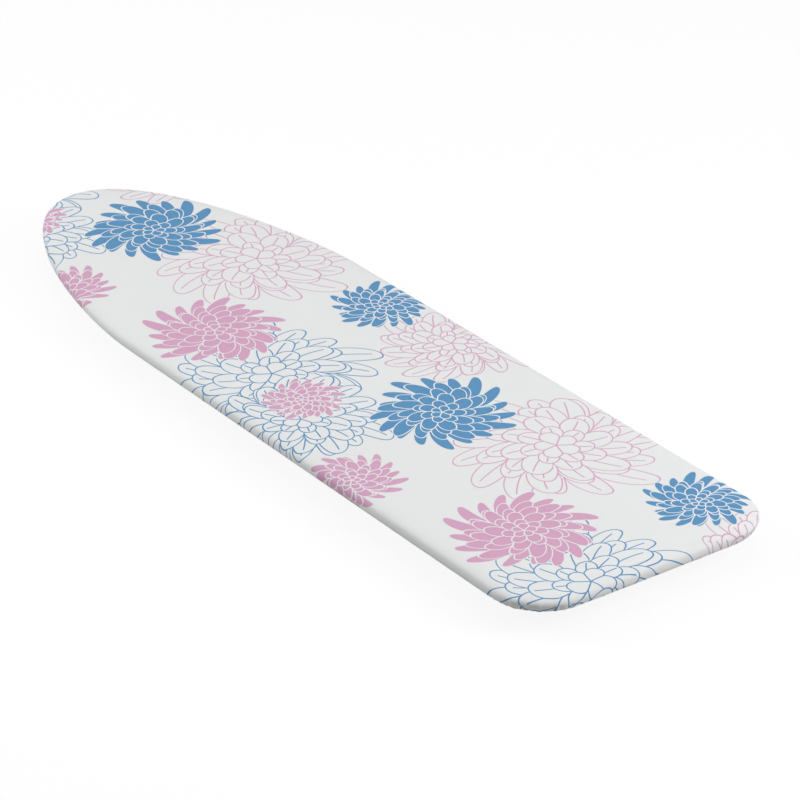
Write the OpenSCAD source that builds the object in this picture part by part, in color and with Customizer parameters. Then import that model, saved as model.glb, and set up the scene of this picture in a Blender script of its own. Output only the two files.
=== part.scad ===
// Folding ironing board: a padded, covered steel top on crossed tube legs.
// Origin: on the floor under the middle of the folded board. +X runs to the nose,
// +Y to the side, +Z up. Modelled folded, the legs lying flat under the top.

/* [Board] */
// Length over the cover, heel to nose
board_length = 1250; // [1200:5:1300]
// Width over the cover at the heel
board_width = 380; // [372:1:400]
// Radius of the two heel corners
heel_corner_r = 70; // [55:1:90]
// How much each side closes in between the heel and the shoulder
side_taper = 6; // [2:1:10]
// Distance from the heel to the shoulder, where the nose curve starts
shoulder_distance = 850; // [820:5:880]
// Strength of the nose curve at the shoulder
shoulder_pull = 90; // [70:5:120]
// Strength of the nose curve at the tip
nose_pull = 127; // [115:1:135]

/* [Cover and padding] */
// Thickness of the cover cloth
cover_t = 1; // [0.8:0.1:1.2]
// Thickness of the foam pad on the top
pad_t = 5; // [4:0.5:7]
// Thickness of the foam pad round the edge
pad_side_t = 4.6; // [4:0.2:6]
// Gap between cloth, foam and rim round the edge
soft_gap = 0.2; // [0.1:0.05:0.3]
// Radius of the padded top edge
edge_r = 7; // [6.4:0.2:8]
// Width of the cloth turned under the board
hem_width = 38; // [34:1:40]
// Width of the elastic band in the hem
elastic_w = 5.6; // [4:0.2:7]
// Thickness of the elastic band
elastic_t = 1.5; // [1:0.1:2]

/* [Steel top] */
// Thickness of the perforated sheet
sheet_t = 1; // [0.8:0.1:1.5]
// Height of the rim under the sheet
rim_h = 9; // [8:0.5:12]
// Wall of the rim
rim_t = 1.5; // [1.2:0.1:2]
// Width of the rim's bottom lip
rim_lip = 7; // [5:0.5:10]
// Radius of a steam vent
vent_r = 8; // [5:0.5:9]
// Spacing of the vents along the board
vent_pitch = 30; // [28:1:36]
// Plain margin between the vents and the rim
vent_margin = 14; // [12:1:20]
// Width of a cross rib
rib_w = 28; // [24:1:32]
// Height of a cross rib
rib_h = 4; // [3:0.5:5]
// Wall of a cross rib
rib_wall = 1.2; // [1:0.1:1.5]

/* [Leg hinge] */
// Distance of the fixed leg hinge from the heel
hinge_inset = 115; // [112:1:120]
// Diameter of the hinge axle
axle_d = 8; // [7:0.5:8]
// Thickness of a hinge ear
ear_t = 2.5; // [2:0.1:3]
// Half length of a hinge ear along the board
ear_half = 15; // [13:1:17]
// Outside radius of a hinge bush
bush_r = 5.5; // [5.3:0.1:5.7]
// Radial running clearance of every pivot
pivot_clearance = 0.05; // [0.02:0.01:0.08]

/* [Legs] */
// Distance from the folded inner leg's foot to the nose
foot_inset = 145; // [142:1:160]
// How far the legs swing open from folded
leg_swing = 54; // [48:1:55]
// Height of the top pivots over the feet when folded
pivot_rise = 14.5; // [14.2:0.1:16]
// Diameter of the leg tubes
leg_tube_d = 18; // [17:0.5:18]
// Wall of the leg tubes
leg_wall = 1.2; // [1:0.1:1.5]
// Distance of each inner tube from the middle
inner_leg_y = 35; // [34:0.5:36]
// Gap between an inner and an outer tube
leg_gap = 8; // [7:0.5:9]
// Distance from the inner leg's foot to the slider, and from the hinge to the outer leg's foot
fold_gap = 35; // [32:1:38]
// Diameter of the foot tubes
foot_tube_d = 18; // [17:0.5:19]
// Diameter of the rubber foot caps
foot_cap_d = 22; // [21:0.5:24]
// Length of a foot cap
foot_cap_length = 30; // [24:1:34]
// Length of the inner leg's foot
inner_foot_length = 208; // [180:1:212]
// Length of the outer leg's foot
outer_foot_length = 280; // [250:1:290]
// Diameter of the brace between the inner tubes
brace_d = 16; // [12:0.5:16]
// Distance of the brace from the hinge
brace_distance = 230; // [200:5:300]

/* [Slider and rails] */
// Diameter of the slider bar
slider_d = 8; // [7:0.5:8]
// Outside diameter of a glide
glide_d = 12; // [11:0.5:13]
// Gap between a glide and the rail slot
glide_clearance = 0.3; // [0.2:0.05:0.5]
// Gap between an outer tube and the rail plate
rail_gap = 12; // [11.5:0.5:13]
// Thickness of the rail plate
rail_t = 2.5; // [2:0.1:3]
// Width of the rail's riveted flange
rail_flange = 11.4; // [10.4:0.1:11.4]

/* [Lock] */
// Diameter of the lock shaft
shaft_d = 6; // [5:0.5:7]
// Thickness of the toothed bar
comb_t = 3; // [2:0.2:3]
// Turn of the lock from released to locked
lock_turn = 75; // [72:1:80]
// Length of the lever from the shaft axis
lever_length = 62; // [58:1:75]
// Swing of the legs at the lowest locked height
lock_first = 30; // [26:2:34]
// Swing of the legs from one locked height to the next
lock_step = 4; // [4:1:8]

/* [Hidden] */
$fn = 48;

// ---- outline of the board ----
heel_x = -board_length / 2;
nose_x = board_length / 2;
corner_steps = 10;
nose_steps = 26;
side_angle = atan(side_taper / (shoulder_distance - heel_corner_r));
corner_centre = [heel_x + heel_corner_r, board_width / 2 - heel_corner_r];
side_start = corner_centre + heel_corner_r * [sin(side_angle), cos(side_angle)];
side_run = heel_x + shoulder_distance - side_start.x;
shoulder = side_start + side_run * [1, -tan(side_angle)];
nose_curve = [
    shoulder,
    shoulder + shoulder_pull * [cos(side_angle), -sin(side_angle)],
    [nose_x, nose_pull],
    [nose_x, 0]
];

// A point and a direction on the nose curve, t from 0 at the shoulder to 1 at the tip
function curve_point(c, t) =
    pow(1 - t, 3) * c[0] + 3 * pow(1 - t, 2) * t * c[1] + 3 * (1 - t) * t * t * c[2] + pow(t, 3) * c[3];
function curve_way(c, t) =
    pow(1 - t, 2) * (c[1] - c[0]) + 2 * (1 - t) * t * (c[2] - c[1]) + t * t * (c[3] - c[2]);
function left_normal(v) = [-v.y, v.x] / norm(v);

// One side from heel to nose tip, moved in by the inset d
function half_outline(d) = concat(
    [for (i = [0:corner_steps])
        let (a = 180 - (90 + side_angle) * i / corner_steps)
        corner_centre + (heel_corner_r - d) * [cos(a), sin(a)]],
    [for (i = [0:nose_steps])
        let (t = i / nose_steps)
        curve_point(nose_curve, t) - d * left_normal(curve_way(nose_curve, t))]
);
// The closed outline, counter-clockwise from above
function outline(d) =
    let (h = half_outline(d), n = len(h))
    concat([for (i = [0:n - 1]) [h[i].x, -h[i].y]], [for (i = [n - 2:-1:0]) h[i]]);
function inside(p, edge) =
    min([for (i = [0:len(edge) - 1])
        cross(edge[(i + 1) % len(edge)] - edge[i], p - edge[i])]) > 0;

// ---- heights ----
leg_r = leg_tube_d / 2;
slider_r = slider_d / 2;
foot_z = foot_cap_d / 2;
pivot_z = foot_z + pivot_rise;
notch_gap = 0.6;
comb_web = 1.4;
shaft_gap = 1.5;
shaft_z = pivot_z + slider_r + notch_gap + comb_web + shaft_d / 2;
rib_z = shaft_z + shaft_d / 2 + shaft_gap;
sheet_z = rib_z + rib_h;
pad_z = sheet_z + sheet_t;
top_z = pad_z + pad_t + cover_t;
rim_z = sheet_z - rim_h;
cover_z = rim_z - cover_t;

// ---- insets from the cover's outside ----
pad_inset = cover_t + soft_gap;
rim_inset = pad_inset + pad_side_t + soft_gap;
rim_inner = rim_inset + rim_t;
pad_lift = 1.5;
pad_bottom_z = rim_z + pad_lift;
hem_round = 1.5;
hem_in = hem_width - cover_t;
tunnel_side_gap = 0.2;
tunnel_roof_gap = 0.1;
tunnel_roof_z = rim_z + elastic_t + tunnel_roof_gap;

// ---- folding geometry ----
// Both legs slope down to their feet when folded, so each foot passes under the other leg's pivot
leg_length = board_length - hinge_inset - foot_inset;
rest_angle = asin(pivot_rise / leg_length);
cross_distance = (leg_length - fold_gap) / 2;
function slider_at(swing) = hinge_x + 2 * cross_distance * cos(rest_angle + swing);
hinge_x = heel_x + hinge_inset;
slider_x = slider_at(0);
inner_foot_x = hinge_x + leg_length * cos(rest_angle);
outer_foot_x = slider_x - leg_length * cos(rest_angle);
outer_leg_y = inner_leg_y + leg_tube_d + leg_gap;
rail_y = outer_leg_y + leg_r + rail_gap;

// ---- tube ends ----
tube_end = 7.5;
plug_cap = 1;
plug_depth = 1;
plug_gap = 0.05;
cope_depth = 4;
foot_cap_wall = 3;

// ---- hinge ----
axle_r = axle_d / 2;
ear_gap = 2;
ear_y = inner_leg_y + leg_r + ear_gap;
ear_eye_r = 9;
ear_flange = 25;
ear_flange_t = 2;
axle_head_t = 1.2;
axle_head_over = 2.5;
axle_head_r = axle_r + axle_head_over;

// ---- rails and slider ----
slot_r = glide_d / 2 + glide_clearance;
slot_rear_x = slider_at(leg_swing);
rail_lip = 2.7;
rail_z = pivot_z - slot_r - rail_lip;
rail_flange_t = 2;
rail_overrun = 46;
foot_clearance = 6;
rail_rear_x = slot_rear_x - rail_overrun;
rail_front_x = inner_foot_x - foot_cap_d / 2 - foot_clearance;
glide_flange_over = 2.5;
glide_flange_r = glide_d / 2 + glide_flange_over;
glide_flange_t = 3;
glide_over = 1.7;
bar_over = 1;
flange_gap = 1;
clip_t = 2.4;
clip_over = 3;
clip_r = slider_r + clip_over;
slider_half = rail_y + rail_t + glide_over + clip_t + bar_over;

// ---- cross ribs ----
bearing_length = 12;
front_rib_over = 3;
front_bearing_over = 0.5;
rib_x = [
    hinge_x,
    (hinge_x + rail_rear_x + rib_w / 2) / 2,
    rail_rear_x + rib_w / 2,
    (rail_rear_x + rail_front_x) / 2,
    rail_front_x + front_rib_over
];
bearing_x = [rib_x[0], rib_x[1], rib_x[2], rail_front_x + front_bearing_over];
bearing_half_w = 8;
bearing_wall = 1.8;
bearing_bottom_z = shaft_z - shaft_d / 2 - bearing_wall;

// ---- rivets ----
rivet_r = 2.5;
rivet_head_r = 4;
rivet_head_t = 1.5;
rivet_gap = 0.1;
ear_rivet_y = ear_y + ear_t + ear_flange / 2;
ear_rivet_inset = 7;
ear_rivet_dx = ear_half - ear_rivet_inset;
rail_rivet_y = rail_y - rail_flange / 2;
front_rivet_inset = 5;
rail_rivet_x = [rib_x[2], rib_x[3], rail_front_x - front_rivet_inset];

// ---- cross pivot ----
bolt_r = 4;
bolt_head_r = 7;
bolt_head_t = 4;
nut_r = 6.5;
nut_t = 6;
side_play = 0.3;
spacer_r = 9;

// ---- lock ----
front_tooth = 7;
rear_tooth = 8;
tooth_over = 1;
comb_front_x = slider_x + slider_r + front_tooth;
comb_rear_x = slot_rear_x - slider_r - rear_tooth;
comb_tip_z = pivot_z - tooth_over;
comb_reach = shaft_z - comb_tip_z;
notch_play = 0.4;
lock_swings = [for (a = [lock_first:lock_step:leg_swing]) a];
lever_gap = 18;
lever_x = outer_foot_x - foot_cap_d / 2 - lever_gap;
lever_hub_r = 6.8;
lever_hub_length = 14;
lever_arm_t = 3;
lever_arm_w = 9;
lever_arm_length = 40;
grip_start = 16;
grip_w = 20;
grip_t = 6.4;
grip_wall_gap = 0.05;
shaft_over = 1;
shaft_rear_x = lever_x - lever_hub_length / 2 - shaft_over;
shaft_front_x = bearing_x[3] + bearing_length / 2 + shaft_over;

// ---- colours ----
white_cloth = [0.93, 0.94, 0.94];
foam = [0.86, 0.85, 0.78];
steel_paint = [0.82, 0.83, 0.84];
zinc = [0.72, 0.73, 0.75];
grey_plastic = [0.45, 0.47, 0.5];
blue_plastic = [0.32, 0.55, 0.74];
rubber = [0.2, 0.21, 0.22];
nylon = [0.92, 0.91, 0.87];

// ==== shared shapes ====

// A closed solid skinned through rings of [inset, height], capped at both ends
module skin_rings(rings) {
    n = len(outline(0));
    m = len(rings);
    points = [for (r = rings) for (p = outline(r[0])) [p.x, p.y, r[1]]];
    sides = [for (i = [0:m - 2]) for (j = [0:n - 1])
        let (k = (j + 1) % n)
        each [
            [i * n + j, (i + 1) * n + k, i * n + k],
            [i * n + j, (i + 1) * n + j, (i + 1) * n + k]
        ]];
    first_cap = [for (j = [0:n - 1]) j];
    last_cap = [for (j = [n - 1:-1:0]) (m - 1) * n + j];
    polyhedron(points = points, faces = concat([first_cap], sides, [last_cap]));
}

// Rings of a rounded top edge, from the side up to the flat
edge_steps = 5;
function round_up(r, inset, z) =
    [for (i = [0:edge_steps])
        let (a = 90 * i / edge_steps)
        [inset + r * (1 - cos(a)), z - r * (1 - sin(a))]];
function reversed(list) = [for (i = [len(list) - 1:-1:0]) list[i]];

// A flat band between two insets
module band(outer, inner, z, h)
    translate([0, 0, z])
        linear_extrude(h)
            difference() {
                polygon(outline(outer));
                polygon(outline(inner));
            }

// A cylinder along the board, from x0 to x1
module along_x(x0, x1, y, z, r)
    translate([x0, y, z]) rotate([0, 90, 0]) cylinder(h = x1 - x0, r = r);

// A cylinder across the board, from y0 to y1
module along_y(x, y0, y1, z, r)
    translate([x, y1, z]) rotate([90, 0, 0]) cylinder(h = y1 - y0, r = r);

// A ring across the board
module ring_y(x, y0, y1, z, r_out, r_in)
    difference() {
        along_y(x, y0, y1, z, r_out);
        along_y(x, y0 - 1, y1 + 1, z, r_in);
    }

// side = 1 keeps the left piece, side = -1 mirrors it to the right
module on_side(side) mirror([0, side < 0 ? 1 : 0, 0]) children();

// A rivet with a head under z and a head on top of the length it grips
module rivet(x, y, z, length) {
    translate([x, y, z]) cylinder(h = length, r = rivet_r);
    for (head_z = [z - rivet_head_t, z + length])
        translate([x, y, head_z]) cylinder(h = rivet_head_t, r = rivet_head_r);
}

module rivet_hole(x, y, z, length)
    translate([x, y, z - 1]) cylinder(h = length + 2, r = rivet_r + rivet_gap);

// ==== soft top ====

module cover() {
    under_cloth = edge_r - cover_t;
    rings = concat(
        reversed(round_up(under_cloth, cover_t, top_z - cover_t)),
        [
            [cover_t, rim_z],
            [hem_in, rim_z],
            [hem_in, tunnel_roof_z],
            [hem_in - elastic_w - 2 * tunnel_side_gap, tunnel_roof_z],
            [hem_in - elastic_w - 2 * tunnel_side_gap, tunnel_roof_z + cover_t],
            [hem_width, tunnel_roof_z + cover_t],
            [hem_width, cover_z],
            [hem_round, cover_z],
            [0, cover_z + hem_round]
        ],
        round_up(edge_r, 0, top_z)
    );
    color(white_cloth) skin_rings(rings);
}

module foam_pad() {
    under_foam = pad_inset + pad_side_t;
    rings = concat(
        [
            [under_foam, pad_z],
            [under_foam, pad_bottom_z],
            [pad_inset, pad_bottom_z]
        ],
        round_up(edge_r - pad_inset, pad_inset, top_z - cover_t)
    );
    color(foam) skin_rings(rings);
}

module cover_elastic()
    color(white_cloth)
        band(hem_in - tunnel_side_gap - elastic_w, hem_in - tunnel_side_gap, rim_z, elastic_t);

// ==== steel top ====

vent_row = vent_pitch * sqrt(3) / 2;
vent_columns = ceil(board_length / vent_pitch / 2);
vent_rows = ceil(board_width / vent_row / 2);
vent_edge = outline(rim_inner + vent_margin + vent_r);
function clear_of_ribs(x) = min([for (r = rib_x) abs(x - r)]) > rib_w / 2 + vent_r;
vent_places = [
    for (j = [-vent_rows:vent_rows])
    for (i = [-vent_columns:vent_columns])
        let (p = [(i + (j % 2 == 0 ? 0 : 0.5)) * vent_pitch, j * vent_row])
        if (inside(p, vent_edge) && clear_of_ribs(p.x)) p
];

module top_sheet()
    color(steel_paint)
        translate([0, 0, sheet_z])
            linear_extrude(sheet_t)
                difference() {
                    polygon(outline(rim_inset));
                    for (p = vent_places) translate(p) circle(vent_r);
                }

module edge_frame()
    color(steel_paint)
        union() {
            band(rim_inset, rim_inner, rim_z, rim_h);
            band(rim_inset, rim_inset + rim_lip, rim_z, rim_t);
        }

module rib_rivet_holes() {
    for (x = rail_rivet_x, s = [-1, 1]) rivet_hole(x, s * rail_rivet_y, rib_z, rib_h);
    for (dx = [-1, 1], s = [-1, 1])
        rivet_hole(hinge_x + dx * ear_rivet_dx, s * ear_rivet_y, rib_z, rib_h);
}

// A channel across the board, open to the sheet above it
module cross_rib(i)
    color(steel_paint)
        difference() {
            translate([0, 0, rib_z])
                linear_extrude(rib_h)
                    intersection() {
                        polygon(outline(rim_inner));
                        translate([rib_x[i] - rib_w / 2, -board_width / 2]) square([rib_w, board_width]);
                    }
            translate([rib_x[i] - rib_w / 2 + rib_wall, -board_width / 2, rib_z + rib_wall])
                cube([rib_w - 2 * rib_wall, board_width, rib_h]);
            rib_rivet_holes();
        }

// ==== leg hinge ====

module hinge_ear(side)
    color(zinc)
        on_side(side)
            difference() {
                union() {
                    translate([hinge_x - ear_half, ear_y, pivot_z])
                        cube([2 * ear_half, ear_t, rib_z - pivot_z]);
                    along_y(hinge_x, ear_y, ear_y + ear_t, pivot_z, ear_eye_r);
                    translate([hinge_x - ear_half, ear_y, rib_z - ear_flange_t])
                        cube([2 * ear_half, ear_t + ear_flange, ear_flange_t]);
                }
                along_y(hinge_x, ear_y - 1, ear_y + ear_t + 1, pivot_z, axle_r + pivot_clearance);
                for (dx = [-1, 1])
                    rivet_hole(hinge_x + dx * ear_rivet_dx, ear_rivet_y, rib_z - ear_flange_t, ear_flange_t);
            }

module hinge_axle() {
    half = ear_y + ear_t;
    color(zinc) {
        along_y(hinge_x, -half, half, pivot_z, axle_r);
        for (s = [-1, 1])
            on_side(s) along_y(hinge_x, half, half + axle_head_t, pivot_z, axle_head_r);
    }
}

module hinge_rivets()
    color(zinc)
        for (dx = [-1, 1], s = [-1, 1])
            rivet(hinge_x + dx * ear_rivet_dx, s * ear_rivet_y, rib_z - ear_flange_t, ear_flange_t + rib_wall);

// ==== rails ====

module slide_rail(side)
    color(steel_paint)
        on_side(side)
            difference() {
                union() {
                    translate([rail_rear_x, rail_y, rail_z])
                        cube([rail_front_x - rail_rear_x, rail_t, rib_z - rail_z]);
                    translate([rail_rear_x, rail_y - rail_flange, rib_z - rail_flange_t])
                        cube([rail_front_x - rail_rear_x, rail_flange + rail_t, rail_flange_t]);
                }
                for (x = [slot_rear_x, slider_x])
                    along_y(x, rail_y - 1, rail_y + rail_t + 1, pivot_z, slot_r);
                translate([slot_rear_x, rail_y - 1, pivot_z - slot_r])
                    cube([slider_x - slot_rear_x, rail_t + 2, 2 * slot_r]);
                for (x = rail_rivet_x)
                    rivet_hole(x, rail_rivet_y, rib_z - rail_flange_t, rail_flange_t);
            }

module rail_rivets()
    color(zinc)
        for (x = rail_rivet_x, s = [-1, 1])
            rivet(x, s * rail_rivet_y, rib_z - rail_flange_t, rail_flange_t + rib_wall);

module shaft_bearing(i)
    color(nylon)
        difference() {
            translate([bearing_x[i] - bearing_length / 2, -bearing_half_w, bearing_bottom_z])
                cube([bearing_length, 2 * bearing_half_w, rib_z - bearing_bottom_z]);
            along_x(bearing_x[i] - bearing_length, bearing_x[i] + bearing_length, 0, shaft_z,
                shaft_d / 2 + pivot_clearance);
        }

// ==== legs ====
// Each leg is drawn in its own frame: its top pivot at the origin, its tubes along X

module inner_leg() translate([hinge_x, 0, pivot_z]) rotate([0, rest_angle, 0]) children();
module outer_leg() translate([slider_x, 0, pivot_z]) rotate([0, -rest_angle, 0]) children();

// A leg tube from x0 to x1, coped to the foot tube at foot_x and drilled for its two pivots
module leg_tube(x0, x1, y, foot_x, pivots)
    color(steel_paint)
        difference() {
            along_x(x0, x1, y, 0, leg_r);
            along_x(x0 - 1, x1 + 1, y, 0, leg_r - leg_wall);
            along_y(foot_x, y - leg_tube_d, y + leg_tube_d, 0, foot_tube_d / 2);
            for (pivot = pivots) along_y(pivot[0], y - leg_tube_d, y + leg_tube_d, 0, pivot[1]);
        }

module inner_tube(side)
    inner_leg()
        leg_tube(-tube_end, leg_length - cope_depth, side * inner_leg_y, leg_length,
            [[0, bush_r], [cross_distance, bush_r]]);

module outer_tube(side)
    outer_leg()
        leg_tube(-leg_length + cope_depth, tube_end, side * outer_leg_y, -leg_length,
            [[0, slider_r + pivot_clearance], [-cross_distance, bolt_r + pivot_clearance]]);

// A foot tube that ends inside its two caps
module foot_bar(x, length) {
    half = length / 2 - foot_cap_wall;
    color(steel_paint) ring_y(x, -half, half, 0, foot_tube_d / 2, foot_tube_d / 2 - leg_wall);
}

module foot_cap(x, length) {
    half = length / 2;
    cap_r = foot_cap_d / 2;
    bevel = 2;
    color(rubber)
        difference() {
            union() {
                along_y(x, half - foot_cap_length, half - bevel, 0, cap_r);
                translate([x, half, 0]) rotate([90, 0, 0]) cylinder(h = bevel, r1 = cap_r - bevel, r2 = cap_r);
            }
            along_y(x, half - foot_cap_length - 1, half - foot_cap_wall, 0, foot_tube_d / 2);
        }
}

module inner_foot_cap(side) inner_leg() on_side(side) foot_cap(leg_length, inner_foot_length);
module outer_foot_cap(side) outer_leg() on_side(side) foot_cap(-leg_length, outer_foot_length);

// A plug in the end of a leg tube. way = 1 when the tube's end faces +X
module tube_plug(end_x, y, way)
    color(grey_plastic)
        translate([end_x, y, 0])
            rotate([0, 90 * way, 0]) {
                cylinder(h = plug_cap, r = leg_r);
                translate([0, 0, -plug_depth])
                    cylinder(h = plug_depth, r = leg_r - leg_wall - plug_gap);
            }

module inner_brace()
    color(steel_paint)
        inner_leg()
            difference() {
                ring_y(brace_distance, -inner_leg_y, inner_leg_y, 0, brace_d / 2, brace_d / 2 - leg_wall);
                for (s = [-1, 1])
                    along_x(brace_distance - leg_tube_d, brace_distance + leg_tube_d, s * inner_leg_y, 0, leg_r);
            }

// A bush through an inner tube, x along the leg
module pivot_bush(x, side, r_in)
    color(nylon)
        inner_leg()
            on_side(side)
                ring_y(x, inner_leg_y - leg_r, inner_leg_y + leg_r, 0, bush_r, r_in + pivot_clearance);

// ==== slider ====

module slider_bar() color(zinc) outer_leg() along_y(0, -slider_half, slider_half, 0, slider_r);

module glide(side) {
    flange_in = rail_y - flange_gap - glide_flange_t;
    color(nylon)
        outer_leg()
            on_side(side)
                difference() {
                    union() {
                        along_y(0, rail_y - flange_gap, rail_y + rail_t + glide_over, 0, glide_d / 2);
                        along_y(0, flange_in, flange_in + glide_flange_t, 0, glide_flange_r);
                    }
                    along_y(0, flange_in - 1, slider_half, 0, slider_r + pivot_clearance);
                }
}

module slider_clip(side) {
    inside_face = rail_y + rail_t + glide_over;
    color(zinc)
        outer_leg()
            on_side(side)
                ring_y(0, inside_face, inside_face + clip_t, 0, clip_r, slider_r + pivot_clearance);
}

// ==== cross pivot ====

module cross_bolt(side) {
    outside = outer_leg_y + leg_r;
    inside_end = inner_leg_y - leg_r - side_play - nut_t + 1;
    color(zinc)
        outer_leg()
            on_side(side) {
                along_y(-cross_distance, inside_end, outside, 0, bolt_r);
                along_y(-cross_distance, outside, outside + bolt_head_t, 0, bolt_head_r);
            }
}

module cross_spacer(side)
    color(nylon)
        outer_leg()
            on_side(side)
                ring_y(-cross_distance, inner_leg_y + leg_r + side_play, outer_leg_y - leg_r - side_play,
                    0, spacer_r, bolt_r + pivot_clearance);

module cross_nut(side) {
    face = inner_leg_y - leg_r - side_play;
    color(zinc)
        outer_leg()
            on_side(side)
                difference() {
                    translate([-cross_distance, face, 0]) rotate([90, 0, 0])
                        cylinder(h = nut_t, r = nut_r, $fn = 6);
                    along_y(-cross_distance, face - nut_t + 1, face + 1, 0, bolt_r);
                }
}

// ==== lock ====

// Turns the lock from its locked pose, teeth down, to its released pose
module released()
    translate([0, 0, shaft_z]) rotate([-lock_turn, 0, 0]) translate([0, 0, -shaft_z]) children();

module lock_shaft() color(zinc) along_x(shaft_rear_x, shaft_front_x, 0, shaft_z, shaft_d / 2);

// The space that the slider bar takes between two teeth
module notch(x) {
    bottom_z = comb_tip_z - 1;
    translate([x - slider_r - notch_play, -comb_t, bottom_z])
        cube([slider_d + 2 * notch_play, 2 * comb_t, pivot_z + slider_r + notch_gap - bottom_z]);
}

module lock_comb()
    color(zinc)
        released()
            difference() {
                translate([comb_rear_x, -comb_t / 2, comb_tip_z])
                    cube([comb_front_x - comb_rear_x, comb_t, comb_reach]);
                along_x(comb_rear_x - 1, comb_front_x + 1, 0, shaft_z, shaft_d / 2);
                for (a = concat([0], lock_swings)) notch(slider_at(a));
            }

module lock_lever()
    color(zinc)
        difference() {
            union() {
                along_x(lever_x - lever_hub_length / 2, lever_x + lever_hub_length / 2, 0, shaft_z,
                    lever_hub_r);
                translate([lever_x - lever_arm_w / 2, -lever_arm_length, shaft_z - lever_arm_t / 2])
                    cube([lever_arm_w, lever_arm_length, lever_arm_t]);
            }
            along_x(lever_x - lever_hub_length, lever_x + lever_hub_length, 0, shaft_z, shaft_d / 2);
        }

module lever_grip() {
    end_r = grip_w / 2;
    pocket_w = lever_arm_w + 2 * grip_wall_gap;
    pocket_t = lever_arm_t + 2 * grip_wall_gap;
    color(blue_plastic)
        difference() {
            translate([lever_x, 0, shaft_z - grip_t / 2])
                linear_extrude(grip_t) {
                    translate([-end_r, -lever_length + end_r]) square([grip_w, lever_length - end_r - grip_start]);
                    translate([0, -lever_length + end_r]) circle(end_r);
                }
            translate([lever_x - pocket_w / 2, -lever_arm_length - grip_wall_gap, shaft_z - pocket_t / 2])
                cube([pocket_w, lever_arm_length, pocket_t]);
        }
}

// ==== drawing ====

cover();
foam_pad();
cover_elastic();
top_sheet();
edge_frame();
for (i = [0:len(rib_x) - 1])
    cross_rib(i);
hinge_ear(1);  // hinge_ear_left
hinge_ear(-1);  // hinge_ear_right
hinge_axle();
hinge_rivets();
slide_rail(1);  // slide_rail_left
slide_rail(-1);  // slide_rail_right
rail_rivets();
for (i = [0:len(bearing_x) - 1])
    shaft_bearing(i);
inner_tube(1);  // inner_tube_left
inner_tube(-1);  // inner_tube_right
inner_leg() foot_bar(leg_length, inner_foot_length);  // inner_foot_bar
inner_brace();
inner_foot_cap(1);  // inner_foot_cap_left
inner_foot_cap(-1);  // inner_foot_cap_right
pivot_bush(0, 1, axle_r);  // hinge_bush_left
pivot_bush(0, -1, axle_r);  // hinge_bush_right
pivot_bush(cross_distance, 1, bolt_r);  // cross_bush_left
pivot_bush(cross_distance, -1, bolt_r);  // cross_bush_right
inner_leg() tube_plug(-tube_end, inner_leg_y, -1);  // inner_plug_left
inner_leg() tube_plug(-tube_end, -inner_leg_y, -1);  // inner_plug_right
outer_tube(1);  // outer_tube_left
outer_tube(-1);  // outer_tube_right
outer_leg() foot_bar(-leg_length, outer_foot_length);  // outer_foot_bar
outer_foot_cap(1);  // outer_foot_cap_left
outer_foot_cap(-1);  // outer_foot_cap_right
outer_leg() tube_plug(tube_end, outer_leg_y, 1);  // outer_plug_left
outer_leg() tube_plug(tube_end, -outer_leg_y, 1);  // outer_plug_right
slider_bar();
glide(1);  // glide_left
glide(-1);  // glide_right
slider_clip(1);  // slider_clip_left
slider_clip(-1);  // slider_clip_right
cross_bolt(1);  // cross_bolt_left
cross_bolt(-1);  // cross_bolt_right
cross_spacer(1);  // cross_spacer_left
cross_spacer(-1);  // cross_spacer_right
cross_nut(1);  // cross_nut_left
cross_nut(-1);  // cross_nut_right
lock_shaft();
lock_comb();
lock_lever();
lever_grip();
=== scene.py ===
"""Looks of a folding ironing board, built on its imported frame.

The gathered cover, its stitching and elastic, the foam pad, the rolled vent rims, the rivets, the
weld beads and the lever handle are made here, and every part gets its finish. Lengths are metres.
Left and right are the +Y and -Y sides, the heel is at -X and the nose at +X.
"""

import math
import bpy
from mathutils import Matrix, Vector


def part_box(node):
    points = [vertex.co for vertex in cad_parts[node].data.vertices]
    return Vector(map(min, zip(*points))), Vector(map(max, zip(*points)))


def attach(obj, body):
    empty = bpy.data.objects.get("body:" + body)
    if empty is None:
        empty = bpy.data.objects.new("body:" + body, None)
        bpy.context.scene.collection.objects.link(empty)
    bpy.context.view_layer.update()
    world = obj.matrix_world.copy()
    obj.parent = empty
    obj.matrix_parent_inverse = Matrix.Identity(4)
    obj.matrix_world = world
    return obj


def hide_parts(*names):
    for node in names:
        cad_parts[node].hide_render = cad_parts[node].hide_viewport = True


bl_info = {
    "name": "Folding Ironing Board",
    "version": (1, 0, 0),
    "blender": (4, 5, 0),
    "location": "View3D > Sidebar > Ironing Board",
    "description": "Covers, trims and finishes a folding ironing board on its fixed frame",
    "category": "Object",
}

import bmesh
import bpy
import numpy as np
from mathutils import Matrix, Vector

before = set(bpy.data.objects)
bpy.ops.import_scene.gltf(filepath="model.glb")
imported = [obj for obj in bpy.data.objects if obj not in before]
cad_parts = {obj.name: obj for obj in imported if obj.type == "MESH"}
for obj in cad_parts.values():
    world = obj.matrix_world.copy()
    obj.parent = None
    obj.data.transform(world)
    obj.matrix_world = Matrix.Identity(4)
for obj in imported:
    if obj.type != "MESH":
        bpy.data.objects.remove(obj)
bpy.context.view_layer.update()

MM = 0.001

# ---- sizes of the frame ----

cover_low, cover_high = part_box("cover")
sheet_low, sheet_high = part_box("top_sheet")

HEEL_X = cover_low.x
NOSE_X = cover_high.x
BOARD_WIDTH = cover_high.y - cover_low.y
TOP_Z = cover_high.z
HEM_Z = cover_low.z

# The outline's rule, the same as the frame's
HEEL_CORNER_R = 70 * MM
SIDE_TAPER = 6 * MM
SHOULDER_DISTANCE = 850 * MM
SHOULDER_PULL = 90 * MM
NOSE_PULL = 127 * MM

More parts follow.
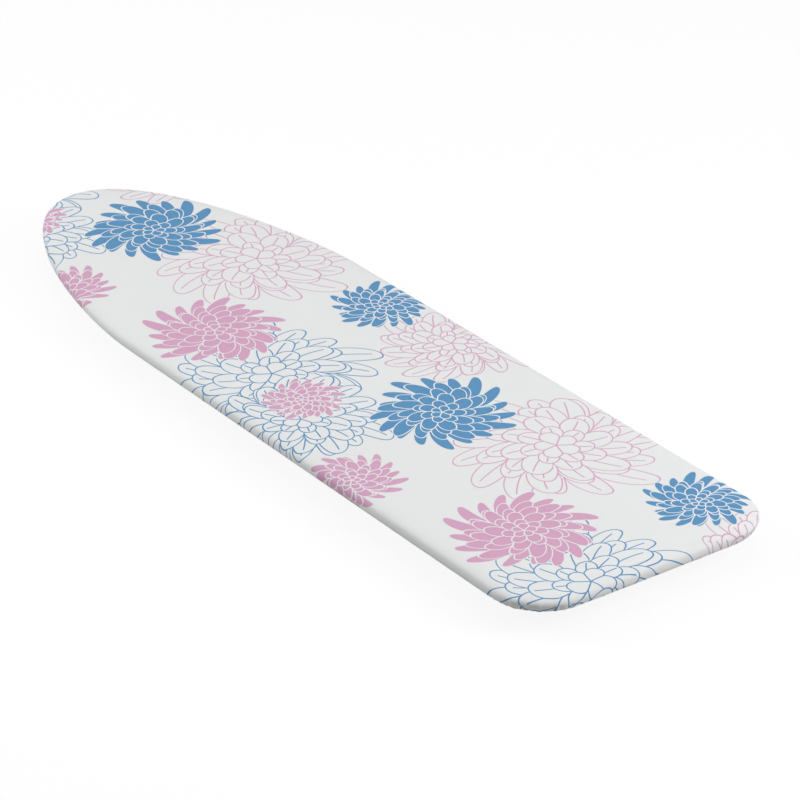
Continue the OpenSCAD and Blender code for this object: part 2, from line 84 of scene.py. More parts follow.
# Insets from the cover's outside to the parts under it
PAD_INSET = 1.2 * MM
RIM_INSET = 6 * MM
RIM_WALL = 1.5 * MM
RIM_LIP = 7 * MM

# Legs, each in a frame of its own with x along the leg from its top pivot
LEG_LENGTH = 990 * MM
PIVOT_RISE = 14.5 * MM
REST_TILT = math.asin(PIVOT_RISE / LEG_LENGTH)
LEG_R = 9 * MM
BRACE_R = 8 * MM
BRACE_DISTANCE = 230 * MM
INNER_LEG_Y = 35 * MM
OUTER_LEG_Y = 61 * MM

# Steam vents: radius, pitch, distance from the rim, rows and columns tried on each side of the
# middle, and the width of a cross rib that they keep clear of
VENT_R = 8 * MM
VENT_PITCH = 30 * MM
VENT_MARGIN = 14 * MM
VENT_ROWS = 8
VENT_COLUMNS = 22
RIB_WIDTH = 28 * MM


# ==== outline of the board ====

DENSE_STEPS = 400
# How far the bend of a corner is felt along the straight beside it, in whole millimetres
BEND_BLUR = 28


def bezier(points, t):
    """Points on a cubic curve and the curve's direction there."""
    t = t[:, None]
    p0, p1, p2, p3 = points
    place = (1 - t) ** 3 * p0 + 3 * (1 - t) ** 2 * t * p1 + 3 * (1 - t) * t**2 * p2 + t**3 * p3
    way = (1 - t) ** 2 * (p1 - p0) + 2 * (1 - t) * t * (p2 - p1) + t**2 * (p3 - p2)
    return place, way / np.linalg.norm(way, axis=1)[:, None]


def dense_half():
    """Close points and outward normals from the middle of the heel to the nose, on the +Y side."""
    side_angle = math.atan(SIDE_TAPER / (SHOULDER_DISTANCE - HEEL_CORNER_R))
    corner = np.array((HEEL_X + HEEL_CORNER_R, BOARD_WIDTH / 2 - HEEL_CORNER_R))
    side_way = np.array((math.cos(side_angle), -math.sin(side_angle)))
    side_out = np.array((math.sin(side_angle), math.cos(side_angle)))
    side_start = corner + HEEL_CORNER_R * side_out
    side_run = HEEL_X + SHOULDER_DISTANCE - side_start[0]
    shoulder = side_start + side_way * side_run / math.cos(side_angle)

    rows = np.linspace(0, 1, DENSE_STEPS)
    heel = np.stack((np.full(DENSE_STEPS, HEEL_X), rows * corner[1]), axis=1)
    heel_out = np.tile((-1.0, 0.0), (DENSE_STEPS, 1))
    turn = math.pi - (math.pi / 2 + side_angle) * rows
    corner_out = np.stack((np.cos(turn), np.sin(turn)), axis=1)
    side = side_start + rows[:, None] * (shoulder - side_start)
    nose_points = (
        shoulder,
        shoulder + SHOULDER_PULL * side_way,
        np.array((NOSE_X, NOSE_PULL)),
        np.array((NOSE_X, 0.0)),
    )
    nose, way = bezier(nose_points, np.linspace(0, 1, 3 * DENSE_STEPS))
    nose_out = np.stack((-way[:, 1], way[:, 0]), axis=1)
    places = np.concatenate((heel, corner + HEEL_CORNER_R * corner_out, side, nose))
    normals = np.concatenate((heel_out, corner_out, np.tile(side_out, (DENSE_STEPS, 1)), nose_out))
    return places, normals


def bend_strength(normals, places):
    """How sharply the outline turns at each point, 0 on a straight side and 1 at a heel corner."""
    step = np.linalg.norm(np.diff(places, axis=0), axis=1)
    turn = np.linalg.norm(np.diff(normals, axis=0), axis=1) / np.maximum(step, 1e-6)
    turn = np.append(turn, turn[-1])
    return np.clip(turn * HEEL_CORNER_R, 0, 1)


def outline_loop(count, corner_share=0.0):
    """The closed outline as (places, normals, arc length, bend).

    corner_share is how much closer the points lie at a heel corner than on a straight side."""
    places, normals = dense_half()
    step = np.append(0, np.linalg.norm(np.diff(places, axis=0), axis=1))
    run = np.cumsum(step)
    even = np.arange(0, run[-1], 1 * MM)
    bend = np.interp(even, run, bend_strength(normals, places))
    soft = np.ones(2 * BEND_BLUR + 1) / (2 * BEND_BLUR + 1)
    bend = np.convolve(np.pad(bend, BEND_BLUR, mode="edge"), soft, mode="valid")
    bend = np.interp(run, even, bend)
    load = np.cumsum(step * (1 + corner_share * bend))
    half = count // 2
    wanted = np.linspace(0, load[-1], half + 1)

    def at(values):
        return np.interp(wanted, load, values)

    px, py = at(places[:, 0]), at(places[:, 1])
    nx, ny = at(normals[:, 0]), at(normals[:, 1])
    size = np.hypot(nx, ny)
    nx, ny = nx / size, ny / size
    py[0] = 0
    py[-1] = 0
    back = slice(half - 1, 0, -1)
    loop_places = np.stack((np.append(px, px[back]), np.append(py, -py[back])), axis=1)
    loop_normals = np.stack((np.append(nx, nx[back]), np.append(ny, -ny[back])), axis=1)
    arc = at(run)
    loop_arc = np.append(arc, 2 * run[-1] - arc[back])
    loop_bend = np.append(at(bend), at(bend)[back])
    return loop_places, loop_normals, loop_arc, loop_bend


def gathers(arc, seed, spacing):
    """Gathers of uneven width along a closed edge: round crests, at most 1, and sharp valleys at 0."""
    random = np.random.default_rng(seed)
    total = float(arc[-1] + (arc[1] - arc[0]))
    valleys = [0.0]
    while valleys[-1] < total:
        valleys.append(valleys[-1] + spacing * random.uniform(0.6, 1.4))
    valleys = np.array(valleys) * total / valleys[-1]
    rises = random.uniform(0.45, 1.0, len(valleys) - 1)
    cell = np.clip(np.searchsorted(valleys, arc, side="right") - 1, 0, len(rises) - 1)
    way = (arc - valleys[cell]) / (valleys[cell + 1] - valleys[cell])
    return rises[cell] * np.sin(math.pi * np.clip(way, 0, 1)) ** 0.7


def smooth_field(x, y, waves, seed):
    """A gentle field from -1 to 1 over the top, of a few crossing waves."""
    random = np.random.default_rng(seed)
    field = np.zeros_like(x)
    for wave in waves:
        angle = random.uniform(0, 2 * math.pi)
        shift = random.uniform(0, 2 * math.pi)
        field += np.sin((x * math.cos(angle) + y * math.sin(angle)) * 2 * math.pi / wave + shift)
    return field / len(waves)


# ==== meshes ====


def new_object(name, vertices, faces, material, smooth=True):
    """A mesh object at the origin with one material."""
    mesh = bpy.data.meshes.new(name)
    mesh.from_pydata([tuple(v) for v in vertices], [], faces)
    mesh.update()
    mesh.materials.append(material)
    mesh.polygons.foreach_set("use_smooth", [smooth] * len(mesh.polygons))
    piece = bpy.data.objects.new(name, mesh)
    bpy.context.scene.collection.objects.link(piece)
    return piece


def ring_faces(rings, count, closed=False):
    """Quads between following rings of the same count of points."""
    faces = []
    last = rings if closed else rings - 1
    for i in range(last):
        k = (i + 1) % rings
        for j in range(count):
            n = (j + 1) % count
            faces.append((i * count + j, i * count + n, k * count + n, k * count + j))
    return faces


def merge_doubles(piece, distance):
    """Joins points that lie together and drops faces without area."""
    work = bmesh.new()
    work.from_mesh(piece.data)
    bmesh.ops.remove_doubles(work, verts=work.verts, dist=distance)
    bmesh.ops.dissolve_degenerate(work, edges=work.edges, dist=distance / 10)
    work.to_mesh(piece.data)
    work.free()


def face_outward(piece):
    """Recalculates the normals of a closed piece so that they all point outward."""
    work = bmesh.new()
    work.from_mesh(piece.data)
    bmesh.ops.recalc_face_normals(work, faces=work.faces)
    work.to_mesh(piece.data)
    work.free()


def turn_up(piece):
    """Turns an open sheet's faces over if its top looks down."""
    top = max(piece.data.polygons, key=lambda face: face.center.z * 1000 + abs(face.normal.z))
    if top.normal.z < 0:
        piece.data.flip_normals()
    piece.data.shade_smooth()


def capped_faces(rings, count):
    """Quads between following rings, and one face over the first ring and one over the last."""
    last = (rings - 1) * count
    return ring_faces(rings, count) + [tuple(range(count)), tuple(range(last, last + count))]


def turns(count):
    """The angles of one full turn, in even steps."""
    return [2 * math.pi * i / count for i in range(count)]


def lathe(profile, count):
    """Vertices and faces of a closed form turned about Z, from (radius, height) points."""
    vertices = []
    for radius, height in profile:
        for angle in turns(count):
            vertices.append((radius * math.cos(angle), radius * math.sin(angle), height))
    return vertices, capped_faces(len(profile), count)


def rounded(value, power):
    """A sine or cosine drawn towards 1 and -1, which squares up a round section."""
    return math.copysign(abs(value) ** power, value)


def node_middle(node):
    """The middle of a node's box at rest."""
    low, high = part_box(node)
    return (low + high) / 2


def evaluated_copy(piece):
    """Replaces a piece's mesh by what its modifiers make, and removes the modifiers."""
    view = bpy.context.evaluated_depsgraph_get()
    view.update()
    made = bpy.data.meshes.new_from_object(piece.evaluated_get(view))
    piece.modifiers.clear()
    piece.data = made
    made.name = piece.name
    return piece


# ==== geometry node trees ====


def geometry_tree(name, inputs):
    """An empty geometry tree with named inputs, and its entry and exit."""
    tree = bpy.data.node_groups.new(name, "GeometryNodeTree")
    tree.interface.new_socket("Geometry", in_out="INPUT", socket_type="NodeSocketGeometry")
    for label, kind, default in inputs:
        socket = tree.interface.new_socket(label, in_out="INPUT", socket_type=kind)
        if default is not None:
            socket.default_value = default
    tree.interface.new_socket("Geometry", in_out="OUTPUT", socket_type="NodeSocketGeometry")
    return tree, tree.nodes.new("NodeGroupInput"), tree.nodes.new("NodeGroupOutput")


def finish_tree(tree, entry, leave, instances):
    """Ends a geometry tree in real geometry with its material."""
    real = tree.nodes.new("GeometryNodeRealizeInstances")
    coat = tree.nodes.new("GeometryNodeSetMaterial")
    tree.links.new(instances, real.inputs[0])
    tree.links.new(real.outputs[0], coat.inputs["Geometry"])
    tree.links.new(entry.outputs["Material"], coat.inputs["Material"])
    tree.links.new(coat.outputs[0], leave.inputs[0])


def run_tree(piece, tree, values):
    """Runs a geometry tree on a piece with its inputs set by their sockets' identifiers."""
    modifier = piece.modifiers.new(tree.name, "NODES")
    modifier.node_group = tree
    for item in tree.interface.items_tree:
        if item.in_out == "INPUT" and item.name in values:
            modifier[item.identifier] = values[item.name]
    return evaluated_copy(piece)


def stitch_tree():
    """Rounded stitches at an even pitch along an edge."""
    tree, entry, leave = geometry_tree(
        "Stitch row",
        [
            ("Pitch", "NodeSocketFloat", 3.2 * MM),
            ("Length", "NodeSocketFloat", 2.4 * MM),
            ("Thread", "NodeSocketFloat", 0.45 * MM),
            ("Material", "NodeSocketMaterial", None),
        ],
    )
    curve = tree.nodes.new("GeometryNodeMeshToCurve")
    spread = tree.nodes.new("GeometryNodeResampleCurve")
    spread.mode = "LENGTH"
    ball = tree.nodes.new("GeometryNodeMeshUVSphere")
    ball.inputs["Segments"].default_value = 6
    ball.inputs["Rings"].default_value = 4
    ball.inputs["Radius"].default_value = 0.5
    way = tree.nodes.new("GeometryNodeInputTangent")
    align = tree.nodes.new("FunctionNodeAlignRotationToVector")
    align.axis = "X"
    size = tree.nodes.new("ShaderNodeCombineXYZ")
    place = tree.nodes.new("GeometryNodeInstanceOnPoints")
    tree.links.new(entry.outputs["Geometry"], curve.inputs["Mesh"])
    tree.links.new(curve.outputs[0], spread.inputs["Curve"])
    tree.links.new(entry.outputs["Pitch"], spread.inputs["Length"])
    tree.links.new(way.outputs[0], align.inputs["Vector"])
    tree.links.new(entry.outputs["Length"], size.inputs[0])
    tree.links.new(entry.outputs["Thread"], size.inputs[1])
    tree.links.new(entry.outputs["Thread"], size.inputs[2])
    tree.links.new(spread.outputs[0], place.inputs["Points"])
    tree.links.new(ball.outputs["Mesh"], place.inputs["Instance"])
    tree.links.new(align.outputs[0], place.inputs["Rotation"])
    tree.links.new(size.outputs[0], place.inputs["Scale"])
    finish_tree(tree, entry, leave, place.outputs[0])
    return tree


def scatter_tree(name, shape):
    """One shape set on every point of a piece."""
    tree, entry, leave = geometry_tree(
        name,
        [
            ("Size", "NodeSocketFloat", 1.0),
            ("Material", "NodeSocketMaterial", None),
        ],
    )
    source = tree.nodes.new("GeometryNodeObjectInfo")
    source.inputs["Object"].default_value = shape
    place = tree.nodes.new("GeometryNodeInstanceOnPoints")
    tree.links.new(entry.outputs["Geometry"], place.inputs["Points"])
    tree.links.new(source.outputs["Geometry"], place.inputs["Instance"])
    tree.links.new(entry.outputs["Size"], place.inputs["Scale"])
    finish_tree(tree, entry, leave, place.outputs[0])
    return tree


def scatter(name, shape, points, material):
    """A piece made of one shape repeated at the points."""
    piece = new_object(name, points, [], material)
    run_tree(piece, scatter_tree(name.replace("_", " "), shape), {"Size": 1.0, "Material": material})
    bpy.data.objects.remove(shape)
    piece.data.shade_smooth()
    return piece


# ==== shader nodes ====

KINDS = {"value": "NodeSocketFloat", "colour": "NodeSocketColor", "vector": "NodeSocketVector"}


def shader_group(name, inputs, outputs):
    """A shader node group with named sockets, and its entry and exit."""
    tree = bpy.data.node_groups.new(name, "ShaderNodeTree")
    for label, kind, default in inputs:
        socket = tree.interface.new_socket(label, in_out="INPUT", socket_type=KINDS[kind])
        if default is not None:
            socket.default_value = default
    for label, kind in outputs:
        tree.interface.new_socket(label, in_out="OUTPUT", socket_type=KINDS[kind])
    return tree, tree.nodes.new("NodeGroupInput"), tree.nodes.new("NodeGroupOutput")


def feed(tree, socket, value):
    """Links an output to a socket, or sets the socket's own value."""
    if isinstance(value, bpy.types.NodeSocket):
        tree.links.new(value, socket)
    else:
        socket.default_value = value


def calc(tree, operation, *values):
    """The result of one Math node."""
    node = tree.nodes.new("ShaderNodeMath")
    node.operation = operation
    for socket, value in zip(node.inputs, values):
        feed(tree, socket, value)
    return node.outputs[0]


def held(tree, value):
    """A value held between 0 and 1."""
    return calc(tree, "MINIMUM", calc(tree, "MAXIMUM", value, 0.0), 1.0)


def vector_calc(tree, operation, *values):
    """The result of one Vector Math node."""
    node = tree.nodes.new("ShaderNodeVectorMath")
    node.operation = operation
    for socket, value in zip(node.inputs, values):
        feed(tree, socket, value)
    gives_value = operation in {"LENGTH", "DOT_PRODUCT"}
    return node.outputs["Value"] if gives_value else node.outputs["Vector"]


def use_group(tree, group, values):
    """A placed shader group with its inputs fed by name."""
    node = tree.nodes.new("ShaderNodeGroup")
    node.node_tree = group
    for label, value in values.items():
        feed(tree, node.inputs[label], value)
    return node


def blend_colour(tree, share, first, second, mode="MIX"):
    """A colour mixed from two by a share."""
    node = tree.nodes.new("ShaderNodeMix")
    node.data_type = "RGBA"
    node.blend_type = mode
    feed(tree, node.inputs[0], share)
    feed(tree, node.inputs[6], first)
    feed(tree, node.inputs[7], second)
    return node.outputs[2]


def noise(tree, place, scale, detail=2.0, roughness=0.5):
    """The value of a Noise Texture."""
    node = tree.nodes.new("ShaderNodeTexNoise")
    feed(tree, node.inputs["Vector"], place)
    feed(tree, node.inputs["Scale"], scale)
    node.inputs["Detail"].default_value = detail
    node.inputs["Roughness"].default_value = roughness
    return node.outputs[0]


def spread_range(tree, value, low, high, new_low, new_high):
    """A value moved from one range to another, held to its ends."""
    node = tree.nodes.new("ShaderNodeMapRange")
    for socket, number in zip(node.inputs, (value, low, high, new_low, new_high)):
        feed(tree, socket, number)
    return node.outputs[0]


def fine_grain_group():
    """Small even bumps with a second, wider grain over them."""
    tree, entry, leave = shader_group(
        "Fine grain",
        [("Place", "vector", None), ("Scale", "value", 900.0), ("Wide share", "value", 0.3)],
        [("Height", "value"), ("Mask", "value")],
    )
    small = noise(tree, entry.outputs["Place"], entry.outputs["Scale"], detail=3.0)
    wide_scale = calc(tree, "MULTIPLY", entry.outputs["Scale"], 0.12)
    wide = noise(tree, entry.outputs["Place"], wide_scale, detail=2.0)
    part = calc(tree, "MULTIPLY", wide, entry.outputs["Wide share"])
    feed(tree, leave.inputs["Height"], calc(tree, "ADD", small, part))
    feed(tree, leave.inputs["Mask"], spread_range(tree, wide, 0.35, 0.65, 0.0, 1.0))
    return tree


def weave_group():
    """A plain weave: warp and weft threads that pass over each other in turn."""
    tree, entry, leave = shader_group(
        "Weave",
        [("Place", "vector", None), ("Threads", "value", 1800.0)],
        [("Height", "value")],
    )
    parts = tree.nodes.new("ShaderNodeSeparateXYZ")
    feed(tree, parts.inputs[0], entry.outputs["Place"])
    across = calc(tree, "MULTIPLY", parts.outputs[0], entry.outputs["Threads"])
    along = calc(tree, "MULTIPLY", parts.outputs[1], entry.outputs["Threads"])
    turn_a = calc(tree, "MULTIPLY", across, math.pi)
    turn_b = calc(tree, "MULTIPLY", along, math.pi)
    warp = calc(tree, "ABSOLUTE", calc(tree, "SINE", turn_a))
    weft = calc(tree, "ABSOLUTE", calc(tree, "SINE", turn_b))
    cells = calc(tree, "ADD", calc(tree, "FLOOR", across), calc(tree, "FLOOR", along))
    over = calc(tree, "FLOORED_MODULO", cells, 2.0)
    raised_warp = calc(tree, "MULTIPLY", warp, calc(tree, "ADD", over, 0.4))
    under = calc(tree, "SUBTRACT", 1.4, over)
    raised_weft = calc(tree, "MULTIPLY", weft, under)
    feed(tree, leave.inputs["Height"], calc(tree, "MAXIMUM", raised_warp, raised_weft))
    return tree


def brushed_group():
    """Fine lines drawn out along one direction."""
    tree, entry, leave = shader_group(
        "Drawn lines",
        [("Place", "vector", None), ("Stretch", "vector", (1.0, 1.0, 1.0)), ("Scale", "value", 400.0)],
        [("Height", "value")],
    )
    drawn = vector_calc(tree, "MULTIPLY", entry.outputs["Place"], entry.outputs["Stretch"])
    feed(tree, leave.inputs["Height"], noise(tree, drawn, entry.outputs["Scale"], detail=3.0))
    return tree


# ---- the flower print ----

# Width over which a printed edge fades, and how blunt a petal's tip is
EDGE_SOFT = 0.35 * MM
PETAL_POWER = 2.3


def petal_ring_group():
    """One ring of petals, drawn over the rings outside it: lines round each petal, or filled petals."""
    tree, entry, leave = shader_group(
        "Petal ring",
        [
            ("Turn", "value", 0.0),
            ("Distance", "value", 0.0),
            ("Ink", "value", 0.0),
            ("Shape", "value", 0.0),
            ("Petals", "value", 9.0),
            ("Phase", "value", 0.0),
            ("Reach", "value", 0.1),
            ("Depth", "value", 0.3),
            ("Line", "value", 1.3 * MM),
            ("Filled", "value", 0.0),
            ("Vein", "value", 0.6),
        ],
        [("Ink", "value"), ("Shape", "value")],
    )
    take = entry.outputs
    spoke = calc(tree, "MULTIPLY_ADD", take["Turn"], take["Petals"], take["Phase"])
    number = calc(tree, "FLOORED_MODULO", calc(tree, "FLOOR", spoke), take["Petals"])
    key = calc(tree, "MULTIPLY_ADD", take["Phase"], 7.31, number)
    chance = tree.nodes.new("ShaderNodeTexWhiteNoise")
    chance.noise_dimensions = "1D"
    feed(tree, chance.inputs["W"], key)
    side = calc(tree, "ABSOLUTE", calc(tree, "SUBTRACT", calc(tree, "FRACT", spoke), 0.5))
    side = calc(tree, "MULTIPLY", side, 2.0)
    uneven = calc(tree, "MULTIPLY_ADD", chance.outputs["Value"], 0.22, 0.84)
    reach = calc(tree, "MULTIPLY", take["Reach"], uneven)
    fall = calc(tree, "MULTIPLY", calc(tree, "POWER", side, PETAL_POWER), take["Depth"])
    edge = calc(tree, "MULTIPLY", reach, calc(tree, "SUBTRACT", 1.0, fall))
    arc = calc(tree, "MULTIPLY", take["Distance"], math.pi)
    arc = calc(tree, "DIVIDE", arc, take["Petals"])
    arc = calc(tree, "MAXIMUM", arc, 0.1 * MM)
    steep = calc(tree, "MULTIPLY", calc(tree, "POWER", side, PETAL_POWER - 1), take["Depth"])
    steep = calc(tree, "MULTIPLY", calc(tree, "MULTIPLY", steep, PETAL_POWER), reach)
    steep = calc(tree, "DIVIDE", steep, arc)
    stretch = calc(tree, "SQRT", calc(tree, "MULTIPLY_ADD", steep, steep, 1.0))
    inward = calc(tree, "DIVIDE", calc(tree, "SUBTRACT", edge, take["Distance"]), stretch)
    to_rim = calc(tree, "ABSOLUTE", inward)
    to_side = calc(tree, "MULTIPLY", calc(tree, "SUBTRACT", 1.0, side), arc)
    to_middle = calc(tree, "MULTIPLY", side, arc)
    vein_end = calc(tree, "MULTIPLY", edge, take["Vein"])
    past_end = calc(tree, "SUBTRACT", take["Distance"], vein_end)
    to_vein = calc(tree, "MAXIMUM", to_middle, past_end)
    nearest = calc(tree, "MINIMUM", to_rim, to_side)
    nearest = calc(tree, "MINIMUM", nearest, to_vein)
    half_line = calc(tree, "MULTIPLY", take["Line"], 0.5)
    line = calc(tree, "SUBTRACT", half_line, nearest)
    line = held(tree, calc(tree, "MULTIPLY_ADD", line, 1 / EDGE_SOFT, 0.5))
    petal = calc(tree, "ADD", inward, half_line)
    petal = held(tree, calc(tree, "MULTIPLY_ADD", petal, 1 / EDGE_SOFT, 0.5))
    drawn = calc(tree, "ABSOLUTE", calc(tree, "SUBTRACT", line, take["Filled"]))
    change = calc(tree, "SUBTRACT", drawn, take["Ink"])
    feed(tree, leave.inputs["Ink"], calc(tree, "MULTIPLY_ADD", change, petal, take["Ink"]))
    feed(tree, leave.inputs["Shape"], calc(tree, "MAXIMUM", petal, take["Shape"]))
    return tree


# Rings of a flower from the outside in: share of the radius, petals, phase, depth of the notches
OPEN_RINGS = (
    (1.00, 15, 0.13, 0.34),
    (0.84, 12, 0.58, 0.32),
    (0.68, 11, 0.31, 0.34),
    (0.52, 8, 0.77, 0.32),
    (0.37, 7, 0.22, 0.34),
    (0.22, 5, 0.64, 0.36),
)
FULL_RINGS = (
    (1.00, 17, 0.41, 0.46),
    (0.82, 14, 0.09, 0.38),
    (0.64, 12, 0.67, 0.36),
    (0.47, 9, 0.35, 0.34),
    (0.31, 7, 0.82, 0.36),
    (0.17, 5, 0.16, 0.36),
)


def flower_group(name, ring, rings, filled, vein):
    """A round flower of layered petals, repeated once in every tile of the print."""
    tree, entry, leave = shader_group(
        name,
        [
            ("Place", "vector", None),
            ("Centre", "vector", (0.0, 0.0, 0.0)),
            ("Half tile", "vector", (0.32, 0.25, 1.0)),
            ("Minus half tile", "vector", (-0.32, -0.25, -1.0)),
            ("Radius", "value", 0.1),
            ("Turned", "value", 0.0),
            ("Swirl", "value", 0.05),
            ("Line", "value", 1.3 * MM),
        ],
        [("Ink", "value"), ("Shape", "value")],
    )
    take = entry.outputs
    local = vector_calc(tree, "SUBTRACT", take["Place"], take["Centre"])
    local = vector_calc(tree, "WRAP", local, take["Half tile"], take["Minus half tile"])
    across = vector_calc(tree, "DOT_PRODUCT", local, (1.0, 0.0, 0.0))
    along = vector_calc(tree, "DOT_PRODUCT", local, (0.0, 1.0, 0.0))
    distance = vector_calc(tree, "LENGTH", vector_calc(tree, "MULTIPLY", local, (1.0, 1.0, 0.0)))
    angle = calc(tree, "ARCTAN2", along, across)
    turn = calc(tree, "MULTIPLY_ADD", angle, 1 / (2 * math.pi), take["Turned"])
    curl = calc(tree, "DIVIDE", distance, take["Radius"])
    turn = calc(tree, "MULTIPLY_ADD", curl, take["Swirl"], turn)
    turn = calc(tree, "FRACT", turn)
    ink = 0.0
    shape = 0.0
    innermost = rings[-1][0]
    for share, petals, phase, depth in rings:
        reach = calc(tree, "MULTIPLY", take["Radius"], share)
        placed = use_group(
            tree,
            ring,
            {
                "Turn": turn,
                "Distance": distance,
                "Ink": ink,
                "Shape": shape,
                "Petals": float(petals),
                "Phase": phase,
                "Reach": reach,
                "Depth": depth,
                "Line": take["Line"],
                "Filled": filled,
                "Vein": vein if share > innermost else -1.0,
            },
        )
        ink = placed.outputs["Ink"]
        shape = placed.outputs["Shape"]
    feed(tree, leave.inputs["Ink"], ink)
    feed(tree, leave.inputs["Shape"], shape)
    return tree


# Flowers of one tile of the print: centre x and y, radius, turn, swirl, filled, blue
TILE = (0.64, 0.50)
FLOWERS = (
    (0.03, 0.09, 0.140, 0.10, 0.08, False, True),
    (0.31, -0.08, 0.142, 0.42, -0.07, False, False),
    (0.55, 0.13, 0.115, 0.71, 0.06, False, True),
    (0.60, -0.14, 0.105, 0.23, 0.09, False, False),
    (0.17, 0.08, 0.096, 0.15, 0.10, True, False),
    (0.46, -0.02, 0.098, 0.62, -0.09, True, True),
    (0.10, -0.13, 0.070, 0.37, 0.08, True, True),
    (0.39, 0.17, 0.068, 0.81, -0.10, True, False),
    (0.59, 0.10, 0.056, 0.52, 0.09, True, False),
)


def print_group():
    """The printed cloth: two inks in flowers over a white ground."""
    ring = petal_ring_group()
    open_flower = flower_group("Open flower", ring, OPEN_RINGS, 0.0, 0.91)
    full_flower = flower_group("Full flower", ring, FULL_RINGS, 1.0, -1.0)
    tree, entry, leave = shader_group(
        "Flower print",
        [
            ("Place", "vector", None),
            ("Line", "value", 1.8 * MM),
            ("Gap", "value", 1.6 * MM),
            ("Wobble", "value", 9 * MM),
        ],
        [("Blue", "value"), ("Pink", "value")],
    )
    take = entry.outputs
    sway = tree.nodes.new("ShaderNodeTexNoise")
    feed(tree, sway.inputs["Vector"], take["Place"])
    sway.inputs["Scale"].default_value = 9.0
    sway.inputs["Detail"].default_value = 1.0
    centred = vector_calc(tree, "SUBTRACT", sway.outputs["Color"], (0.5, 0.5, 0.5))
    moved = tree.nodes.new("ShaderNodeVectorMath")
    moved.operation = "SCALE"
    feed(tree, moved.inputs[0], centred)
    feed(tree, moved.inputs["Scale"], take["Wobble"])
    place = vector_calc(tree, "ADD", take["Place"], moved.outputs["Vector"])
    blue = 0.0
    pink = 0.0
    for x, y, radius, turned, swirl, filled, is_blue in FLOWERS:
        flower = use_group(
            tree,
            full_flower if filled else open_flower,
            {
                "Place": place,
                "Centre": (x, y, 0.0),
                "Half tile": (TILE[0] / 2, TILE[1] / 2, 1.0),
                "Minus half tile": (-TILE[0] / 2, -TILE[1] / 2, -1.0),
                "Radius": radius,
                "Turned": turned,
                "Swirl": swirl,
                "Line": take["Gap"] if filled else take["Line"],
            },
        )
        ink = flower.outputs["Ink"]
        kept = calc(tree, "SUBTRACT", 1.0, flower.outputs["Shape"])
        blue = calc(tree, "MULTIPLY_ADD", blue, kept, ink if is_blue else 0.0)
        pink = calc(tree, "MULTIPLY_ADD", pink, kept, 0.0 if is_blue else ink)
    feed(tree, leave.inputs["Blue"], blue)
    feed(tree, leave.inputs["Pink"], pink)
    return tree


# ==== materials ====


def bare_nodes(owner, output):
    """The node tree of a material or a world, emptied, with a new output node."""
    owner.use_nodes = True
    owner.node_tree.nodes.clear()
    return owner.node_tree, owner.node_tree.nodes.new(output)


def new_material(name, roughness, metallic=0.0, coat=0.0, sheen=0.0, specular=0.5):
    """A material with one Principled shader, its constant values on the shader's own sockets."""
    material = bpy.data.materials.new(name)
    tree, out = bare_nodes(material, "ShaderNodeOutputMaterial")
    shader = tree.nodes.new("ShaderNodeBsdfPrincipled")
    shader.inputs["Roughness"].default_value = roughness
    shader.inputs["Metallic"].default_value = metallic
    shader.inputs["Coat Weight"].default_value = coat
    shader.inputs["Sheen Weight"].default_value = sheen
    shader.inputs["Specular IOR Level"].default_value = specular
    tree.links.new(shader.outputs[0], out.inputs[0])
    return material, tree, shader


def two_tones(colour, darker):
    """A colour and a darker shade of it, for the ends of a blend."""
    return (*colour, 1.0), (*(darker * part for part in colour), 1.0)


def object_place(tree):
    """Object coordinates."""
    return tree.nodes.new("ShaderNodeTexCoord").outputs["Object"]


def cut_place(tree):
    """Place on the cloth as it was cut, before it was pulled over the board."""
    node = tree.nodes.new("ShaderNodeAttribute")
    node.attribute_name = "cut"
    return node.outputs["Vector"]


def add_bump(tree, shader, height, distance):
    """A Bump node into the shader's normal."""
    node = tree.nodes.new("ShaderNodeBump")
    node.inputs["Distance"].default_value = distance
    feed(tree, node.inputs["Height"], height)
    tree.links.new(node.outputs[0], shader.inputs["Normal"])


def cotton_material(colours, groups):
    """Printed cotton cover cloth."""
    material, tree, shader = new_material("printed_cotton", 0.85, sheen=0.12, specular=0.25)
    place = cut_place(tree)
    ground = (*colours.ground, 1.0)
    blue_ink = (*colours.blue_ink, 1.0)
    pink_ink = (*colours.pink_ink, 1.0)
    design = use_group(tree, groups["print"], {"Place": place})
    mottle = noise(tree, place, 260.0, detail=3.0)
    uneven = spread_range(tree, mottle, 0.3, 0.7, 0.95, 1.0)
    blue = calc(tree, "MULTIPLY", design.outputs["Blue"], uneven)
    pink = calc(tree, "MULTIPLY", design.outputs["Pink"], uneven)
    colour = blend_colour(tree, pink, ground, pink_ink)
    colour = blend_colour(tree, blue, colour, blue_ink)
    weave = use_group(tree, groups["weave"], {"Place": place, "Threads": 1700.0})
    # Painted shade: the cloth's colour is up to 5% darker where the weave is low, between its threads
    shade = spread_range(tree, weave.outputs["Height"], 0.2, 1.3, 0.95, 1.0)
    tone = tree.nodes.new("ShaderNodeCombineXYZ")
    for socket in tone.inputs:
        feed(tree, socket, shade)
    colour = blend_colour(tree, 1.0, colour, tone.outputs[0], mode="MULTIPLY")
    feed(tree, shader.inputs["Base Color"], colour)
    wrinkle = noise(tree, place, 34.0, detail=3.0)
    threads = calc(tree, "MULTIPLY", weave.outputs["Height"], 0.28)
    height = calc(tree, "MULTIPLY_ADD", wrinkle, 2.4, threads)
    add_bump(tree, shader, height, 0.25 * MM)
    return material


def thread_material(colours, groups):
    """White sewing thread."""
    material, tree, shader = new_material("sewing_thread", 0.6, sheen=0.2)
    place = object_place(tree)
    twist = use_group(tree, groups["lines"], {"Place": place, "Scale": 3000.0})
    # Painted shade: the thread is up to a fifth darker where its twist's bump is low
    tone = spread_range(tree, twist.outputs["Height"], 0.3, 0.7, 0.0, 1.0)
    white, shaded = two_tones(colours.ground, 0.8)
    feed(tree, shader.inputs["Base Color"], blend_colour(tree, tone, shaded, white))
    add_bump(tree, shader, twist.outputs["Height"], 0.05 * MM)
    return material


